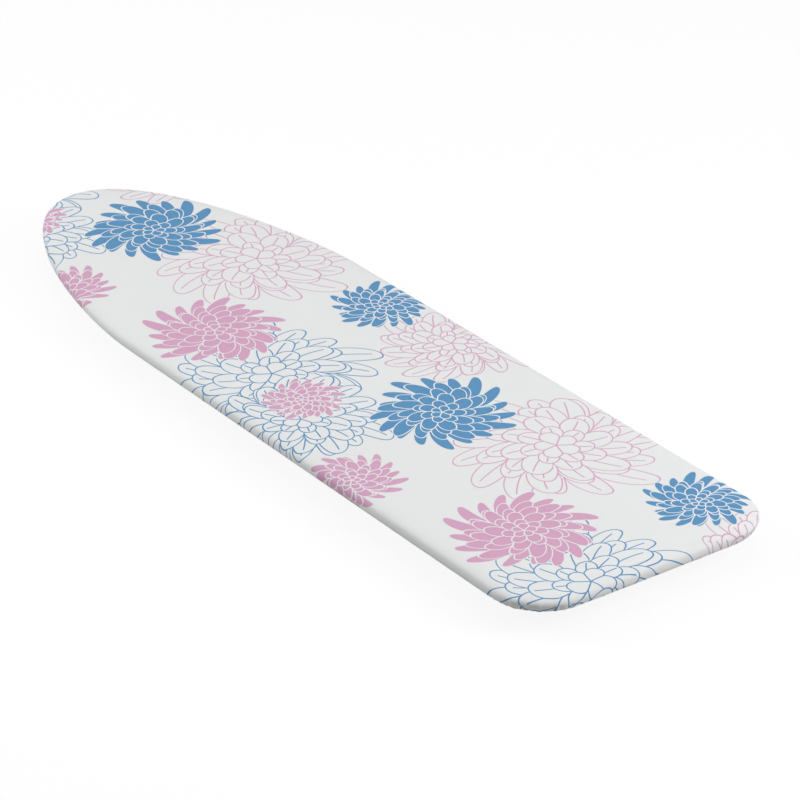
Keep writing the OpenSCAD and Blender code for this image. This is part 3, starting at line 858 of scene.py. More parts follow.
def elastic_material(groups):
    """Knitted white elastic, with painted shade: grey in the hollows of the knit."""
    material, tree, shader = new_material("knitted_elastic", 0.8, sheen=0.2)
    place = object_place(tree)
    knit = use_group(tree, groups["weave"], {"Place": place, "Threads": 900.0})
    # Painted shade: the colour falls from near white to mid grey where the knit is low
    tone = spread_range(tree, knit.outputs["Height"], 0.2, 1.3, 0.0, 1.0)
    colour = blend_colour(tree, tone, (0.5, 0.51, 0.52, 1.0), (0.8, 0.81, 0.82, 1.0))
    feed(tree, shader.inputs["Base Color"], colour)
    add_bump(tree, shader, knit.outputs["Height"], 0.3 * MM)
    return material


def foam_material(colours):
    """Open-cell foam."""
    material, tree, shader = new_material("open_cell_foam", 0.95, specular=0.15)
    place = object_place(tree)
    cells = tree.nodes.new("ShaderNodeTexVoronoi")
    feed(tree, cells.inputs["Vector"], place)
    cells.inputs["Scale"].default_value = 1300.0
    pore = spread_range(tree, cells.outputs["Distance"], 0.1, 0.6, 0.0, 1.0)
    blot = noise(tree, place, 60.0)
    # Painted shade in part: half of the tone follows the pores' depth, darker in their pits, and half
    # is random blotches
    tone = held(tree, calc(tree, "MULTIPLY_ADD", blot, 0.5, calc(tree, "MULTIPLY", pore, 0.5)))
    light, dark = two_tones(colours.foam, 0.78)
    feed(tree, shader.inputs["Base Color"], blend_colour(tree, tone, dark, light))
    add_bump(tree, shader, pore, 0.3 * MM)
    return material


def powder_coat_material(colours, groups):
    """Light grey powder coat with a faint orange peel."""
    material, tree, shader = new_material("powder_coat", 0.42, coat=0.15)
    place = object_place(tree)
    grain = use_group(tree, groups["grain"], {"Place": place, "Scale": 700.0, "Wide share": 0.8})
    light, dark = two_tones(colours.paint, 0.9)
    feed(tree, shader.inputs["Base Color"], blend_colour(tree, grain.outputs["Mask"], dark, light))
    rough = spread_range(tree, grain.outputs["Mask"], 0.0, 1.0, 0.36, 0.48)
    feed(tree, shader.inputs["Roughness"], rough)
    add_bump(tree, shader, grain.outputs["Height"], 0.12 * MM)
    return material


def zinc_material(groups, name, stretch):
    """Bright zinc plate over drawn steel, its lines along the piece."""
    material, tree, shader = new_material(name, 0.32, metallic=1.0)
    place = object_place(tree)
    lines = use_group(tree, groups["lines"], {"Place": place, "Stretch": stretch, "Scale": 500.0})
    cloud = noise(tree, place, 45.0, detail=3.0)
    tone = calc(tree, "MULTIPLY_ADD", cloud, 0.6, calc(tree, "MULTIPLY", lines.outputs["Height"], 0.4))
    colour = blend_colour(tree, tone, (0.45, 0.47, 0.5, 1.0), (0.72, 0.73, 0.75, 1.0))
    feed(tree, shader.inputs["Base Color"], colour)
    rough = spread_range(tree, lines.outputs["Height"], 0.3, 0.7, 0.24, 0.42)
    feed(tree, shader.inputs["Roughness"], rough)
    add_bump(tree, shader, lines.outputs["Height"], 0.04 * MM)
    return material


def moulded_material(name, colour, groups, roughness, scale, depth, specular=0.5):
    """Moulded plastic or rubber with an eroded grain."""
    material, tree, shader = new_material(name, roughness, specular=specular)
    place = object_place(tree)
    grain = use_group(tree, groups["grain"], {"Place": place, "Scale": scale, "Wide share": 0.5})
    light, dark = two_tones(colour, 0.82)
    feed(tree, shader.inputs["Base Color"], blend_colour(tree, grain.outputs["Mask"], dark, light))
    rough = spread_range(tree, grain.outputs["Height"], 0.3, 0.9, roughness - 0.08, roughness + 0.08)
    feed(tree, shader.inputs["Roughness"], rough)
    add_bump(tree, shader, grain.outputs["Height"], depth)
    return material


# Colours of the mouldings that the sidebar doesn't set
NATURAL_NYLON = (0.8, 0.79, 0.74)
DARK_GREY = (0.17, 0.19, 0.21)
BLACK_RUBBER = (0.035, 0.037, 0.04)


def make_materials(colours):
    """Every finish of the board by name."""
    groups = {
        "grain": fine_grain_group(),
        "weave": weave_group(),
        "lines": brushed_group(),
        "print": print_group(),
    }
    return {
        "cotton": cotton_material(colours, groups),
        "thread": thread_material(colours, groups),
        "elastic": elastic_material(groups),
        "foam": foam_material(colours),
        "paint": powder_coat_material(colours, groups),
        "zinc": zinc_material(groups, "zinc_plate", (1.0, 0.06, 1.0)),
        "zinc_long": zinc_material(groups, "zinc_plate_long", (0.06, 1.0, 1.0)),
        "nylon": moulded_material("nylon", NATURAL_NYLON, groups, 0.45, 600.0, 0.06 * MM),
        "grey_plastic": moulded_material("grey_plastic", DARK_GREY, groups, 0.5, 800.0, 0.1 * MM),
        "grip": moulded_material("grip_plastic", tuple(colours.grip), groups, 0.5, 900.0, 0.12 * MM),
        "rubber": moulded_material("rubber", BLACK_RUBBER, groups, 0.75, 700.0, 0.15 * MM, 0.3),
    }


FINISHES = {}


def finish(name):
    """A finish by name. The finishes are made once, from the colours in the sidebar."""
    if not FINISHES:
        FINISHES.update(make_materials(bpy.context.scene.board_colours))
    return FINISHES[name]


# ==== settings in the sidebar ====


class CoverSettings(bpy.types.PropertyGroup):
    """Sizes of the cloth cover and its padding."""

    cloth: bpy.props.FloatProperty(
        name="Cloth thickness", description="Thickness of the cover cloth",
        default=0.8 * MM, min=0.3 * MM, max=1.5 * MM, unit="LENGTH", precision=4,
    )
    edge_width: bpy.props.FloatProperty(
        name="Edge width", description="How far in from the side the padded edge starts to round",
        default=26 * MM, min=15 * MM, max=60 * MM, unit="LENGTH", precision=4,
    )
    edge_height: bpy.props.FloatProperty(
        name="Edge height", description="Height of the rounded padded edge",
        default=8.5 * MM, min=6 * MM, max=15 * MM, unit="LENGTH", precision=4,
    )
    hem_width: bpy.props.FloatProperty(
        name="Hem width", description="Width of the cloth turned under the board",
        default=37 * MM, min=25 * MM, max=40 * MM, unit="LENGTH", precision=4,
    )
    gather_spacing: bpy.props.FloatProperty(
        name="Gather spacing", description="Usual distance between two gathers of the hem",
        default=17 * MM, min=10 * MM, max=40 * MM, unit="LENGTH", precision=4,
    )
    gather_height: bpy.props.FloatProperty(
        name="Gather height", description="Height of the gathers at the elastic",
        default=6.0 * MM, min=0.0, max=8 * MM, unit="LENGTH", precision=4,
    )
    stitch_pitch: bpy.props.FloatProperty(
        name="Stitch pitch", description="Distance from one stitch to the next",
        default=3.4 * MM, min=1.5 * MM, max=6 * MM, unit="LENGTH", precision=4,
    )


class ColourSettings(bpy.types.PropertyGroup):
    """Colours of the cloth, foam, paint and grip."""

    ground: bpy.props.FloatVectorProperty(
        name="Cloth", description="Unprinted colour of the cover cloth",
        default=(0.80, 0.81, 0.81), min=0.0, max=1.0, subtype="COLOR",
    )
    blue_ink: bpy.props.FloatVectorProperty(
        name="Blue ink", description="Blue of the printed flowers",
        default=(0.062, 0.256, 0.49), min=0.0, max=1.0, subtype="COLOR",
    )
    pink_ink: bpy.props.FloatVectorProperty(
        name="Pink ink", description="Pink of the printed flowers",
        default=(0.647, 0.347, 0.52), min=0.0, max=1.0, subtype="COLOR",
    )
    foam: bpy.props.FloatVectorProperty(
        name="Foam", description="Colour of the foam pad",
        default=(0.72, 0.70, 0.60), min=0.0, max=1.0, subtype="COLOR",
    )
    paint: bpy.props.FloatVectorProperty(
        name="Powder coat", description="Colour of the painted steel",
        default=(0.62, 0.64, 0.66), min=0.0, max=1.0, subtype="COLOR",
    )
    grip: bpy.props.FloatVectorProperty(
        name="Grip", description="Colour of the lever handle",
        default=(0.08, 0.26, 0.50), min=0.0, max=1.0, subtype="COLOR",
    )


class HardwareSettings(bpy.types.PropertyGroup):
    """Sizes of the small metal and plastic details."""

    weld_radius: bpy.props.FloatProperty(
        name="Weld radius", description="Radius of a weld bead",
        default=1.5 * MM, min=0.5 * MM, max=2.5 * MM, unit="LENGTH", precision=4,
    )
    vent_roll: bpy.props.FloatProperty(
        name="Vent roll", description="Radius of the rolled edge round each steam vent",
        default=0.7 * MM, min=0.3 * MM, max=1 * MM, unit="LENGTH", precision=4,
    )
    rivet_head: bpy.props.FloatProperty(
        name="Rivet head", description="Radius of a domed rivet head",
        default=4 * MM, min=3 * MM, max=4.5 * MM, unit="LENGTH", precision=4,
    )


class StageSettings(bpy.types.PropertyGroup):
    """Camera and lights of the studio."""

    azimuth: bpy.props.FloatProperty(
        name="Azimuth", description="Direction that the camera stands in, round the board",
        default=math.radians(234.25), subtype="ANGLE",
    )
    elevation: bpy.props.FloatProperty(
        name="Elevation", description="Angle of the camera above the floor",
        default=math.radians(27.686), subtype="ANGLE",
    )
    distance: bpy.props.FloatProperty(
        name="Distance", description="Distance of the camera from the middle of the top",
        default=5.6908, min=1.0, max=20.0, unit="LENGTH",
    )
    lens: bpy.props.FloatProperty(
        name="Lens", description="Focal length on a 36 mm sensor",
        default=202.94, min=35.0, max=400.0, subtype="DISTANCE_CAMERA",
    )
    top_power: bpy.props.FloatProperty(
        name="Top light", description="Power of the soft light overhead",
        default=46.0, min=0.0, subtype="POWER",
    )
    nose_power: bpy.props.FloatProperty(
        name="Nose light", description="Power of the soft light beyond the nose",
        default=72.0, min=0.0, subtype="POWER",
    )
    heel_power: bpy.props.FloatProperty(
        name="Heel light", description="Power of the soft light beyond the heel",
        default=75.0, min=0.0, subtype="POWER",
    )
    room: bpy.props.FloatProperty(
        name="Room light", description="Strength of the even light from all round",
        default=0.17, min=0.0, max=2.0,
    )


# ==== pieces ====

# The cover's mesh: points in each ring, how much closer they lie at a heel corner, and the rings of
# the flat top, of the rounded edge and of the elastic's tunnel
AROUND = 1040
CORNER_SHARE = 1.2
INNER_RINGS = 6
EDGE_ROWS = 15
TUNNEL_RINGS = 9

# The flat top's rings close on a line that ends this far from the heel and the nose
SPINE_REAR = 150 * MM
SPINE_FRONT = 230 * MM

# The cover's section: a superellipse edge, an upright side, a small bend under it, the hem and the
# elastic's tunnel
EDGE_POWER = 2.6
SIDE_INSET = 0.1 * MM
SIDE_DROP = 2.5 * MM
LOW_BEND_INSET = 0.3 * MM
LOW_BEND_R = 2.2 * MM
LOW_BEND_ROWS = 4
HEM_CLEAR = 0.2 * MM
HEM_RISE = 0.15 * MM
HEM_ROWS = (0.12, 0.3, 0.48, 0.64, 0.78, 0.9, 1.0)
TUNNEL_HALF_WIDTH = 4.1 * MM
TUNNEL_HALF_HEIGHT = 2.0 * MM
TUNNEL_START = -math.radians(60)
TUNNEL_TURN = math.radians(210)

# From the hem's full width to its roll, and from there to the middle of the elastic's tunnel
ROLL_MARGIN = 2 * MM
TUNNEL_SET = 2.4 * MM

# How far the cloth's raw end lies past the tunnel, towards the rim, and above the hem
RAW_END_BACK = 0.6 * MM
RAW_END_RISE = 1.0 * MM

# How far the hem draws in at a heel corner, and the share of the gathers left on a straight side
CORNER_TUCK = 3.0 * MM
STRAIGHT_SHARE = 0.3

# Seed and share of the usual spacing: small gathers, large gathers, puckers at the corners
GATHERS = ((11, 1.0), (5, 2.6), (29, 0.6))

# The top's unevenness: its depth, its wave lengths and its seed
DIP = 0.15 * MM
DIP_WAVES = (0.31, 0.23, 0.17)
DIP_SEED = 3

# Trial of the slack cloth, run at ten times full size: the cloth's support and the gap to it, the
# length of the run and the furthest that a point may move. Cloth with less slack than FREE_SLACK is
# held in part, and the tunnel is held by TUNNEL_HOLD. CONTACT_GAP is at the trial's own size.
SUPPORT_GAP = 0.9 * MM
SUPPORT_ROWS = 9
SUPPORT_CORNER_INSET = 2.4 * MM
SUPPORT_CORNER_RISE = 3 * MM
SIM_SCALE = 10.0
SIM_FRAMES = 22
FOLD_LIMIT = 5 * MM
TUNNEL_HOLD = 0.9
FREE_SLACK = 0.22
CONTACT_GAP = 0.004
FRICTION = 12.0
GRAVITY_SHARE = 0.2
FABRIC = {
    "quality": 6,
    "mass": 0.25,
    "air_damping": 3.0,
    "tension_stiffness": 20.0,
    "compression_stiffness": 20.0,
    "shear_stiffness": 6.0,
    "bending_stiffness": 0.6,
    "pin_stiffness": 2.0,
    "vertex_group_mass": "held",
    "vertex_group_shrink": "slack",
    "shrink_min": 0.0,
    "shrink_max": -0.22,
}


def rounded_edge(width, rise, count):
    """The padded top's rounded edge from the flat down, as (share of the way, out, up)."""
    power = 2 / EDGE_POWER
    points = []
    for i in range(count):
        share = i / (count - 1)
        turn = math.pi / 2 * share
        points.append((share, width * math.sin(turn) ** power, rise * math.cos(turn) ** power))
    return points


def cover_profile(cover):
    """The cover's section from the flat top out, down, under and round the elastic.

    Each point is (inset, height, slack, pleat): how slack the cloth is there, and how far its
    gathers stand out, both from 0 to 1."""
    width = cover.edge_width
    rise = cover.edge_height
    low = TOP_Z - rise
    points = []
    for share, out, up in rounded_edge(width, rise, EDGE_ROWS):
        down = share**3
        points.append((width - out, low + up, 0.1 * down, 0.1 * down))
    points.append((SIDE_INSET, low - SIDE_DROP, 0.2, 0.14))

    # the small bend under the side, and the hem
    hem = HEM_Z + HEM_CLEAR
    for i in range(1, LOW_BEND_ROWS + 1):
        turn = math.pi / 2 * i / LOW_BEND_ROWS
        inset = LOW_BEND_INSET + LOW_BEND_R * (1 - math.cos(turn))
        height = hem + LOW_BEND_R * (1 - math.sin(turn))
        points.append((inset, height, 0.2 + 0.05 * i, 0.13 + 0.02 * i))
    roll_low = cover.hem_width - ROLL_MARGIN
    for share in HEM_ROWS:
        inset = LOW_BEND_R + (roll_low - LOW_BEND_R) * share
        points.append((inset, hem + HEM_RISE * share, 0.35 + 0.65 * share, 0.2 + 0.8 * share**1.4))

    # round the elastic, and the raw end past it
    middle = roll_low - TUNNEL_SET
    rows = TUNNEL_RINGS - 1
    for i in range(1, rows + 1):
        turn = TUNNEL_START + TUNNEL_TURN * i / rows
        inset = middle + TUNNEL_HALF_WIDTH * math.cos(turn)
        height = hem + TUNNEL_HALF_HEIGHT * (1 + math.sin(turn))
        points.append((inset, height, 1.0, 1.0 - 0.6 * (i / rows)))
    points.append((middle - TUNNEL_HALF_WIDTH - RAW_END_BACK, hem + RAW_END_RISE, 0.9, 0.2))
    return np.array(points)


def fullness(bend):
    """How fully the cloth is gathered, 1 at a heel corner and less on a straight side."""
    return STRAIGHT_SHARE + (1 - STRAIGHT_SHARE) * bend


def top_dip(flat):
    """The slight unevenness of the padded top, at or below its flat height."""
    return DIP * (smooth_field(flat[:, 0], flat[:, 1], DIP_WAVES, DIP_SEED) - 1)


def cover_rows(cover):
    """The cover cloth's outer surface as rings of points, and each point's place in the flat cut.

    The first rings fill the flat top and the rest follow the cover's section. It also returns how
    slack the cloth is at each row of the section, and the bend round the outline."""
    places, normals, arc, bend = outline_loop(AROUND, CORNER_SHARE)
    profile = cover_profile(cover)
    count = len(arc)
    small, large, pucker = (gathers(arc, seed, cover.gather_spacing * share) for seed, share in GATHERS)
    pucker *= bend

    step = np.diff(profile[:, :2], axis=0)
    reach = np.append(0, np.cumsum(np.hypot(step[:, 0], step[:, 1])))
    tangent = np.gradient(profile[:, :2], axis=0)
    tangent /= np.linalg.norm(tangent, axis=1)[:, None]
    outward = np.stack((tangent[:, 1], -tangent[:, 0]), axis=1)

    # the flat top, from its spine out to the start of the rounded edge
    rows = []
    cuts = []
    ring_start = places - cover.edge_width * normals
    rear = HEEL_X + SPINE_REAR
    front = NOSE_X - SPINE_FRONT
    spine = np.stack((np.clip(ring_start[:, 0], rear, front), np.zeros(count)), axis=1)
    for i in range(INNER_RINGS):
        share = (i / INNER_RINGS) ** 0.9
        flat = spine + (ring_start - spine) * share
        rows.append(np.column_stack((flat, TOP_Z + top_dip(flat))))
        cuts.append(flat)

    # the rounded edge, the hem and the tunnel: the small gathers grow towards the elastic, and the
    # large ones stand out most on the way there
    for i, (inset, height, slack, pleat) in enumerate(profile):
        wave = small * (0.4 + 0.6 * pleat) + large * 0.6 * math.sin(math.pi * min(pleat * 1.3, 1.0))
        eased = min(1.0, 10 * slack) ** 0.5
        push = cover.gather_height * (pleat * fullness(bend) * wave + 0.2 * eased * pucker)
        tuck = CORNER_TUCK * bend * min(1.0, max(0.0, (slack - 0.1) / 0.2))
        base = places - (inset + tuck)[:, None] * normals
        fade = max(0.0, 1 - 4 * slack)
        along = -outward[i, 0] * push
        up = outward[i, 1] * push + top_dip(base) * fade
        flat = base + normals * along[:, None]
        rows.append(np.column_stack((flat, height + up)))
        cuts.append(ring_start + normals * reach[i])
    return np.array(rows), np.array(cuts), profile[:, 2], bend


def support_rings(cover):
    """Section of what holds the cloth out: the pad's outside and the rim's lip, as (inset, height)."""
    width = cover.edge_width
    rise = cover.edge_height
    rings = [(width, sheet_low.z)]
    for share, out, up in rounded_edge(width, rise, SUPPORT_ROWS):
        inset = max(width - out, 0) + SUPPORT_GAP * share
        rings.append((inset, TOP_Z - rise + up - SUPPORT_GAP))
    rings += [
        (SUPPORT_GAP, HEM_Z + SUPPORT_CORNER_RISE),
        (SUPPORT_CORNER_INSET, HEM_Z + SUPPORT_GAP),
        (RIM_INSET + RIM_LIP, HEM_Z + SUPPORT_GAP),
        (RIM_INSET + RIM_LIP, sheet_low.z),
    ]
    return rings


def settle_hem(cover, rows, slack_share, bend):
    """Lets the edge and hem of the cover settle as slack cloth between the pad and the elastic.

    The cloth is cut wider than the place it fills, most at the corners, and it buckles into folds.
    It returns the rings with the folds added. The simulation runs ten times full size."""
    band = rows[INNER_RINGS:, ::2]
    rings, count = band.shape[:2]
    points = band.reshape(-1, 3) * SIM_SCALE
    cloth = new_object("hem_trial", points, ring_faces(rings, count), finish("cotton"))
    held_group = cloth.vertex_groups.new(name="held")
    slack_group = cloth.vertex_groups.new(name="slack")
    full_at = fullness(bend[::2])
    for i, share in enumerate(slack_share):
        hold = max(0.0, 1 - share / FREE_SLACK)
        hold = max(hold, TUNNEL_HOLD * (i >= rings - TUNNEL_RINGS))
        for j in range(count):
            held_group.add([i * count + j], hold, "REPLACE")
            slack_group.add([i * count + j], min(1.0, share * full_at[j]), "REPLACE")

    places, normals, _, trial_bend = outline_loop(count, CORNER_SHARE)
    points = []
    section = support_rings(cover)
    for inset, height in section:
        tuck = CORNER_TUCK * trial_bend * (height < TOP_Z - cover.edge_height)
        ring = places - (inset + tuck)[:, None] * normals
        points.append(np.column_stack((ring, np.full(count, height))))
    points = np.concatenate(points) * SIM_SCALE
    faces = ring_faces(len(section), count, closed=True)
    support = new_object("hem_support", points, faces, finish("foam"))
    face_outward(support)
    support.modifiers.new("hold", "COLLISION")
    support.collision.thickness_outer = CONTACT_GAP
    support.collision.cloth_friction = FRICTION

    work = cloth.modifiers.new("settle", "CLOTH")
    for name, value in FABRIC.items():
        setattr(work.settings, name, value)
    work.settings.effector_weights.gravity = GRAVITY_SHARE
    work.collision_settings.use_collision = True
    work.collision_settings.distance_min = CONTACT_GAP
    work.collision_settings.use_self_collision = False
    scene = bpy.context.scene
    for frame_number in range(1, SIM_FRAMES + 1):
        scene.frame_set(frame_number)
    view = bpy.context.evaluated_depsgraph_get()
    settled = np.zeros(rings * count * 3, np.float32)
    cloth.evaluated_get(view).data.vertices.foreach_get("co", settled)
    scene.frame_set(1)
    shift = settled.reshape(rings, count, 3) / SIM_SCALE - band
    size = np.linalg.norm(shift, axis=2, keepdims=True)
    shift *= np.minimum(1.0, FOLD_LIMIT / np.maximum(size, 1e-9))
    bpy.data.objects.remove(cloth)
    bpy.data.objects.remove(support)

    # every second column was tried, and those between follow their neighbours smoothly
    before, after, beyond = (np.roll(shift, step, axis=1) for step in (1, -1, -2))
    between = (9 * (shift + after) - before - beyond) / 16
    made = rows.copy()
    made[INNER_RINGS:, ::2] += shift
    made[INNER_RINGS:, 1::2] += between
    return made


class BOARD_OT_cover(bpy.types.Operator):
    """Makes the printed cotton cover with its rounded edge and gathered hem"""

    bl_idname = "ironing_board.cover"
    bl_label = "Cover"

    def execute(self, context):
        cover = context.scene.board_cover
        rows, cuts, slack_share, bend = cover_rows(cover)
        rows = settle_hem(cover, rows, slack_share, bend)
        faces = ring_faces(len(rows), rows.shape[1])
        piece = new_object("cover_cloth", rows.reshape(-1, 3), faces, finish("cotton"))
        cut = piece.data.attributes.new("cut", "FLOAT_VECTOR", "POINT")
        flat = np.concatenate((cuts, np.zeros((*cuts.shape[:2], 1))), axis=2)
        cut.data.foreach_set("vector", flat.astype(np.float32).ravel())
        merge_doubles(piece, 0.02 * MM)
        turn_up(piece)
        wall = piece.modifiers.new("cloth thickness", "SOLIDIFY")
        wall.thickness = cover.cloth
        wall.offset = -1.0
        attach(piece, "board")
        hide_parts("cover")
        edge = cuts[-1]
        following = np.roll(edge, -1, axis=0)
        area = 0.5 * abs(np.sum(edge[:, 0] * following[:, 1] - edge[:, 1] * following[:, 0]))
        length, width = edge.max(axis=0) - edge.min(axis=0)
        context.scene["stitch_row"] = [float(v) for v in rows[-TUNNEL_RINGS - 2].ravel()]
        context.scene["cover_cut"] = [float(width), float(length), float(area)]
        return {"FINISHED"}


# The stitches: thickness of the thread, share of the pitch that a stitch fills, how far it stands out
THREAD = 0.5 * MM
STITCH_SHARE = 0.72
STITCH_PROUD = 0.1 * MM


class BOARD_OT_stitching(bpy.types.Operator):
    """Sews a row of stitches round the hem"""

    bl_idname = "ironing_board.stitching"
    bl_label = "Stitching"

    def execute(self, context):
        cover = context.scene.board_cover
        row = np.array(context.scene["stitch_row"]).reshape(-1, 3)
        row[:, 2] -= STITCH_PROUD
        edges = [(i, (i + 1) % len(row)) for i in range(len(row))]
        mesh = bpy.data.meshes.new("hem_stitches")
        mesh.from_pydata([tuple(p) for p in row], edges, [])
        piece = bpy.data.objects.new("hem_stitches", mesh)
        context.scene.collection.objects.link(piece)
        sizes = {
            "Pitch": cover.stitch_pitch,
            "Length": STITCH_SHARE * cover.stitch_pitch,
            "Thread": THREAD,
            "Material": finish("thread"),
        }
        run_tree(piece, stitch_tree(), sizes)
        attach(piece, "board")
        return {"FINISHED"}


# The elastic: half its width, the room left over and under it for its ripple, and the ripple's
# depth and length
ELASTIC_HALF_WIDTH = 2.6 * MM
ELASTIC_CLEAR = 0.15 * MM
ELASTIC_RIPPLE = 0.12 * MM
ELASTIC_RIB = 4.2 * MM


class BOARD_OT_elastic(bpy.types.Operator):
    """Makes the flat elastic band that runs in the hem"""

    bl_idname = "ironing_board.elastic"
    bl_label = "Elastic"

    def execute(self, context):
        low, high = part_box("cover_elastic")
        places, normals, arc, bend = outline_loop(AROUND // 2, CORNER_SHARE)
        centre = context.scene.board_cover.hem_width - ROLL_MARGIN - TUNNEL_SET
        half_thick = (high.z - low.z) / 2 - ELASTIC_CLEAR
        ripple = ELASTIC_RIPPLE * np.sin(arc / ELASTIC_RIB * 2 * math.pi)
        rows = []
        section = 14
        for turn in turns(section):
            across = ELASTIC_HALF_WIDTH * rounded(math.cos(turn), 0.5)
            up = half_thick * rounded(math.sin(turn), 0.6)
            flat = places - normals * (centre + across + CORNER_TUCK * bend)[:, None]
            rows.append(np.column_stack((flat, (low.z + high.z) / 2 + up + ripple)))
        faces = ring_faces(section, len(arc), closed=True)
        piece = new_object("hem_elastic", np.concatenate(rows), faces, finish("elastic"))
        face_outward(piece)
        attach(piece, "board")
        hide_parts("cover_elastic")
        return {"FINISHED"}


# The pad: its gap under the cloth, how much its rounded edge is lower than the cover's and that
# edge's rows, its small corners, and its gaps to the rim and over the steel
PAD_GAP = 0.5 * MM
PAD_EDGE_DROP = 0.9 * MM
PAD_ROWS = 13
PAD_CHAMFER = 0.8 * MM
PAD_LIP_CLEAR = 0.15 * MM
PAD_SEAT = 0.05 * MM


class BOARD_OT_pad(bpy.types.Operator):
    """Makes the foam pad that lies over the steel top and round its edge"""

    bl_idname = "ironing_board.pad"
    bl_label = "Pad"

    def execute(self, context):
        cover = context.scene.board_cover
        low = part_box("foam_pad")[0]
        places, normals, arc, bend = outline_loop(AROUND // 2, CORNER_SHARE)
        width = cover.edge_width - PAD_INSET
        top = TOP_Z - cover.cloth - PAD_GAP
        rise = cover.edge_height - PAD_EDGE_DROP
        # Each point is (inset, height, how much it follows the tuck of the corners)
        points = []
        for share, out, up in rounded_edge(width, rise, PAD_ROWS):
            points.append((cover.edge_width - out, top - rise + up, share**6))
        lip = RIM_INSET - PAD_LIP_CLEAR
        seat = sheet_high.z + PAD_SEAT
        points += [
            (PAD_INSET, low.z + 1 * MM, 1.0),
            (PAD_INSET + PAD_CHAMFER, low.z, 1.0),
            (lip - PAD_CHAMFER, low.z, 0.0),
            (lip, low.z + PAD_CHAMFER, 0.0),
            (lip, sheet_high.z - 0.6 * MM, 0.0),
            (lip + 0.5 * MM, seat, 0.0),
            (cover.edge_width, seat, 0.0),
        ]
        rows = []
        for inset, height, tucked in points:
            flat = places - (inset + CORNER_TUCK * bend * tucked)[:, None] * normals
            rows.append(np.column_stack((flat, np.full(len(arc), height))))
        faces = capped_faces(len(rows), len(arc))
        piece = new_object("foam_padding", np.concatenate(rows), faces, finish("foam"))
        face_outward(piece)
        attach(piece, "board")
        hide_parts("foam_pad")
        return {"FINISHED"}


def inside_outline(point, edge):
    """Whether a point lies inside a closed line of points."""
    x, y = point
    inside = False
    for (x0, y0), (x1, y1) in zip(edge, np.roll(edge, -1, axis=0)):
        if (y0 > y) != (y1 > y) and x < (x1 - x0) * (y - y0) / (y1 - y0) + x0:
            inside = not inside
    return inside


def vent_places():
    """Centres of the steam vents, in rows that miss the cross ribs."""
    places, normals, _, _ = outline_loop(400)
    margin = RIM_INSET + RIM_WALL + VENT_MARGIN + VENT_R
    edge = places - normals * margin
    ribs = [node_middle(f"cross_rib_{i}").x for i in range(1, 6)]
    row_pitch = VENT_PITCH * math.sqrt(3) / 2
    found = []
    for j in range(-VENT_ROWS, VENT_ROWS + 1):
        for i in range(-VENT_COLUMNS, VENT_COLUMNS + 1):
            x = (i + (0.5 if j % 2 else 0)) * VENT_PITCH
            y = j * row_pitch
            clear = min(abs(x - rib) for rib in ribs) > RIB_WIDTH / 2 + VENT_R
            if clear and inside_outline((x, y), edge):
                found.append((x, y))
    return found


class BOARD_OT_vent_rims(bpy.types.Operator):
    """Rolls the edge of every steam vent under the steel top"""

    bl_idname = "ironing_board.vent_rims"
    bl_label = "Vent rims"

    def execute(self, context):
        roll = context.scene.board_hardware.vent_roll
        around = 24
        section = 6
        vertices = []
        for angle in turns(around):
            for turn in turns(section):
                radius = VENT_R + roll * math.cos(turn)
                up = roll * math.sin(turn)
                vertices.append((radius * math.cos(angle), radius * math.sin(angle), up))
        faces = ring_faces(around, section, closed=True)
        shape = new_object("vent_roll_shape", vertices, faces, finish("paint"))
        face_outward(shape)
        points = [(x, y, sheet_low.z) for x, y in vent_places()]
        piece = scatter("vent_rims", shape, points, finish("paint"))
        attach(piece, "board")
        return {"FINISHED"}


# Rivets: height of a dome, radius of the flat at its top, radius of the shank, and how far apart a
# rivet's own points can lie
DOME = 1.5 * MM
DOME_FLAT = 0.05 * MM
SHANK_R = 2.5 * MM
RIVET_REACH = 9 * MM


def rivet_shape(name, head, grip, material):
    """A rivet with a domed head at both ends of the metal that it grips, from z 0 up to the grip."""
    steps = 5
    dome = []
    for i in range(steps):
        turn = math.pi / 2 * i / steps
        dome.append((head * math.sin(turn) + DOME_FLAT, DOME * math.cos(turn)))
    profile = [(radius, -rise) for radius, rise in dome]
    profile += [(head, 0.0), (SHANK_R, 0.0), (SHANK_R, grip), (head, grip)]
    profile += [(radius, grip + rise) for radius, rise in reversed(dome)]
    vertices, faces = lathe(profile, 20)
    shape = new_object(name, vertices, faces, material)
    face_outward(shape)
    return shape


def cluster_centres(node):
    """Middle of each separate rivet in a node, and the node's lowest and highest z."""
    low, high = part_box(node)
    seen = []
    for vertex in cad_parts[node].data.vertices:
        x, y = vertex.co.x, vertex.co.y
        near = [group for group in seen if math.hypot(group[0] - x, group[1] - y) < RIVET_REACH]
        if near:
            near[0][2].append((x, y))
        else:
            seen.append((x, y, [(x, y)]))
    centres = []
    for group in seen:
        xs = [p[0] for p in group[2]]
        ys = [p[1] for p in group[2]]
        centres.append(((min(xs) + max(xs)) / 2, (min(ys) + max(ys)) / 2))
    return centres, low.z, high.z


class BOARD_OT_rivets(bpy.types.Operator):
    """Sets domed rivets in the hinge ears and the slide rails"""

    bl_idname = "ironing_board.rivets"
    bl_label = "Rivets"

    def execute(self, context):
        head = context.scene.board_hardware.rivet_head
        for node, name in (("hinge_rivets", "hinge_dome_rivets"), ("rail_rivets", "rail_dome_rivets")):
            centres, low_z, high_z = cluster_centres(node)
            if not centres:
                raise RuntimeError(f"no rivets found in {node}")
            grip = high_z - low_z - 2 * DOME
            shape = rivet_shape(name + "_shape", head, grip, finish("zinc"))
            points = [(x, y, low_z + DOME) for x, y in centres]
            piece = scatter(name, shape, points, finish("zinc"))
            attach(piece, "board")
            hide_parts(node)
        return {"FINISHED"}


# How uneven a weld bead is, as a share of its radius and the times that it comes round: its scales,
# and a slower wander
WELD_SCALES = (0.14, 21)
WELD_WANDER = (0.07, 8)


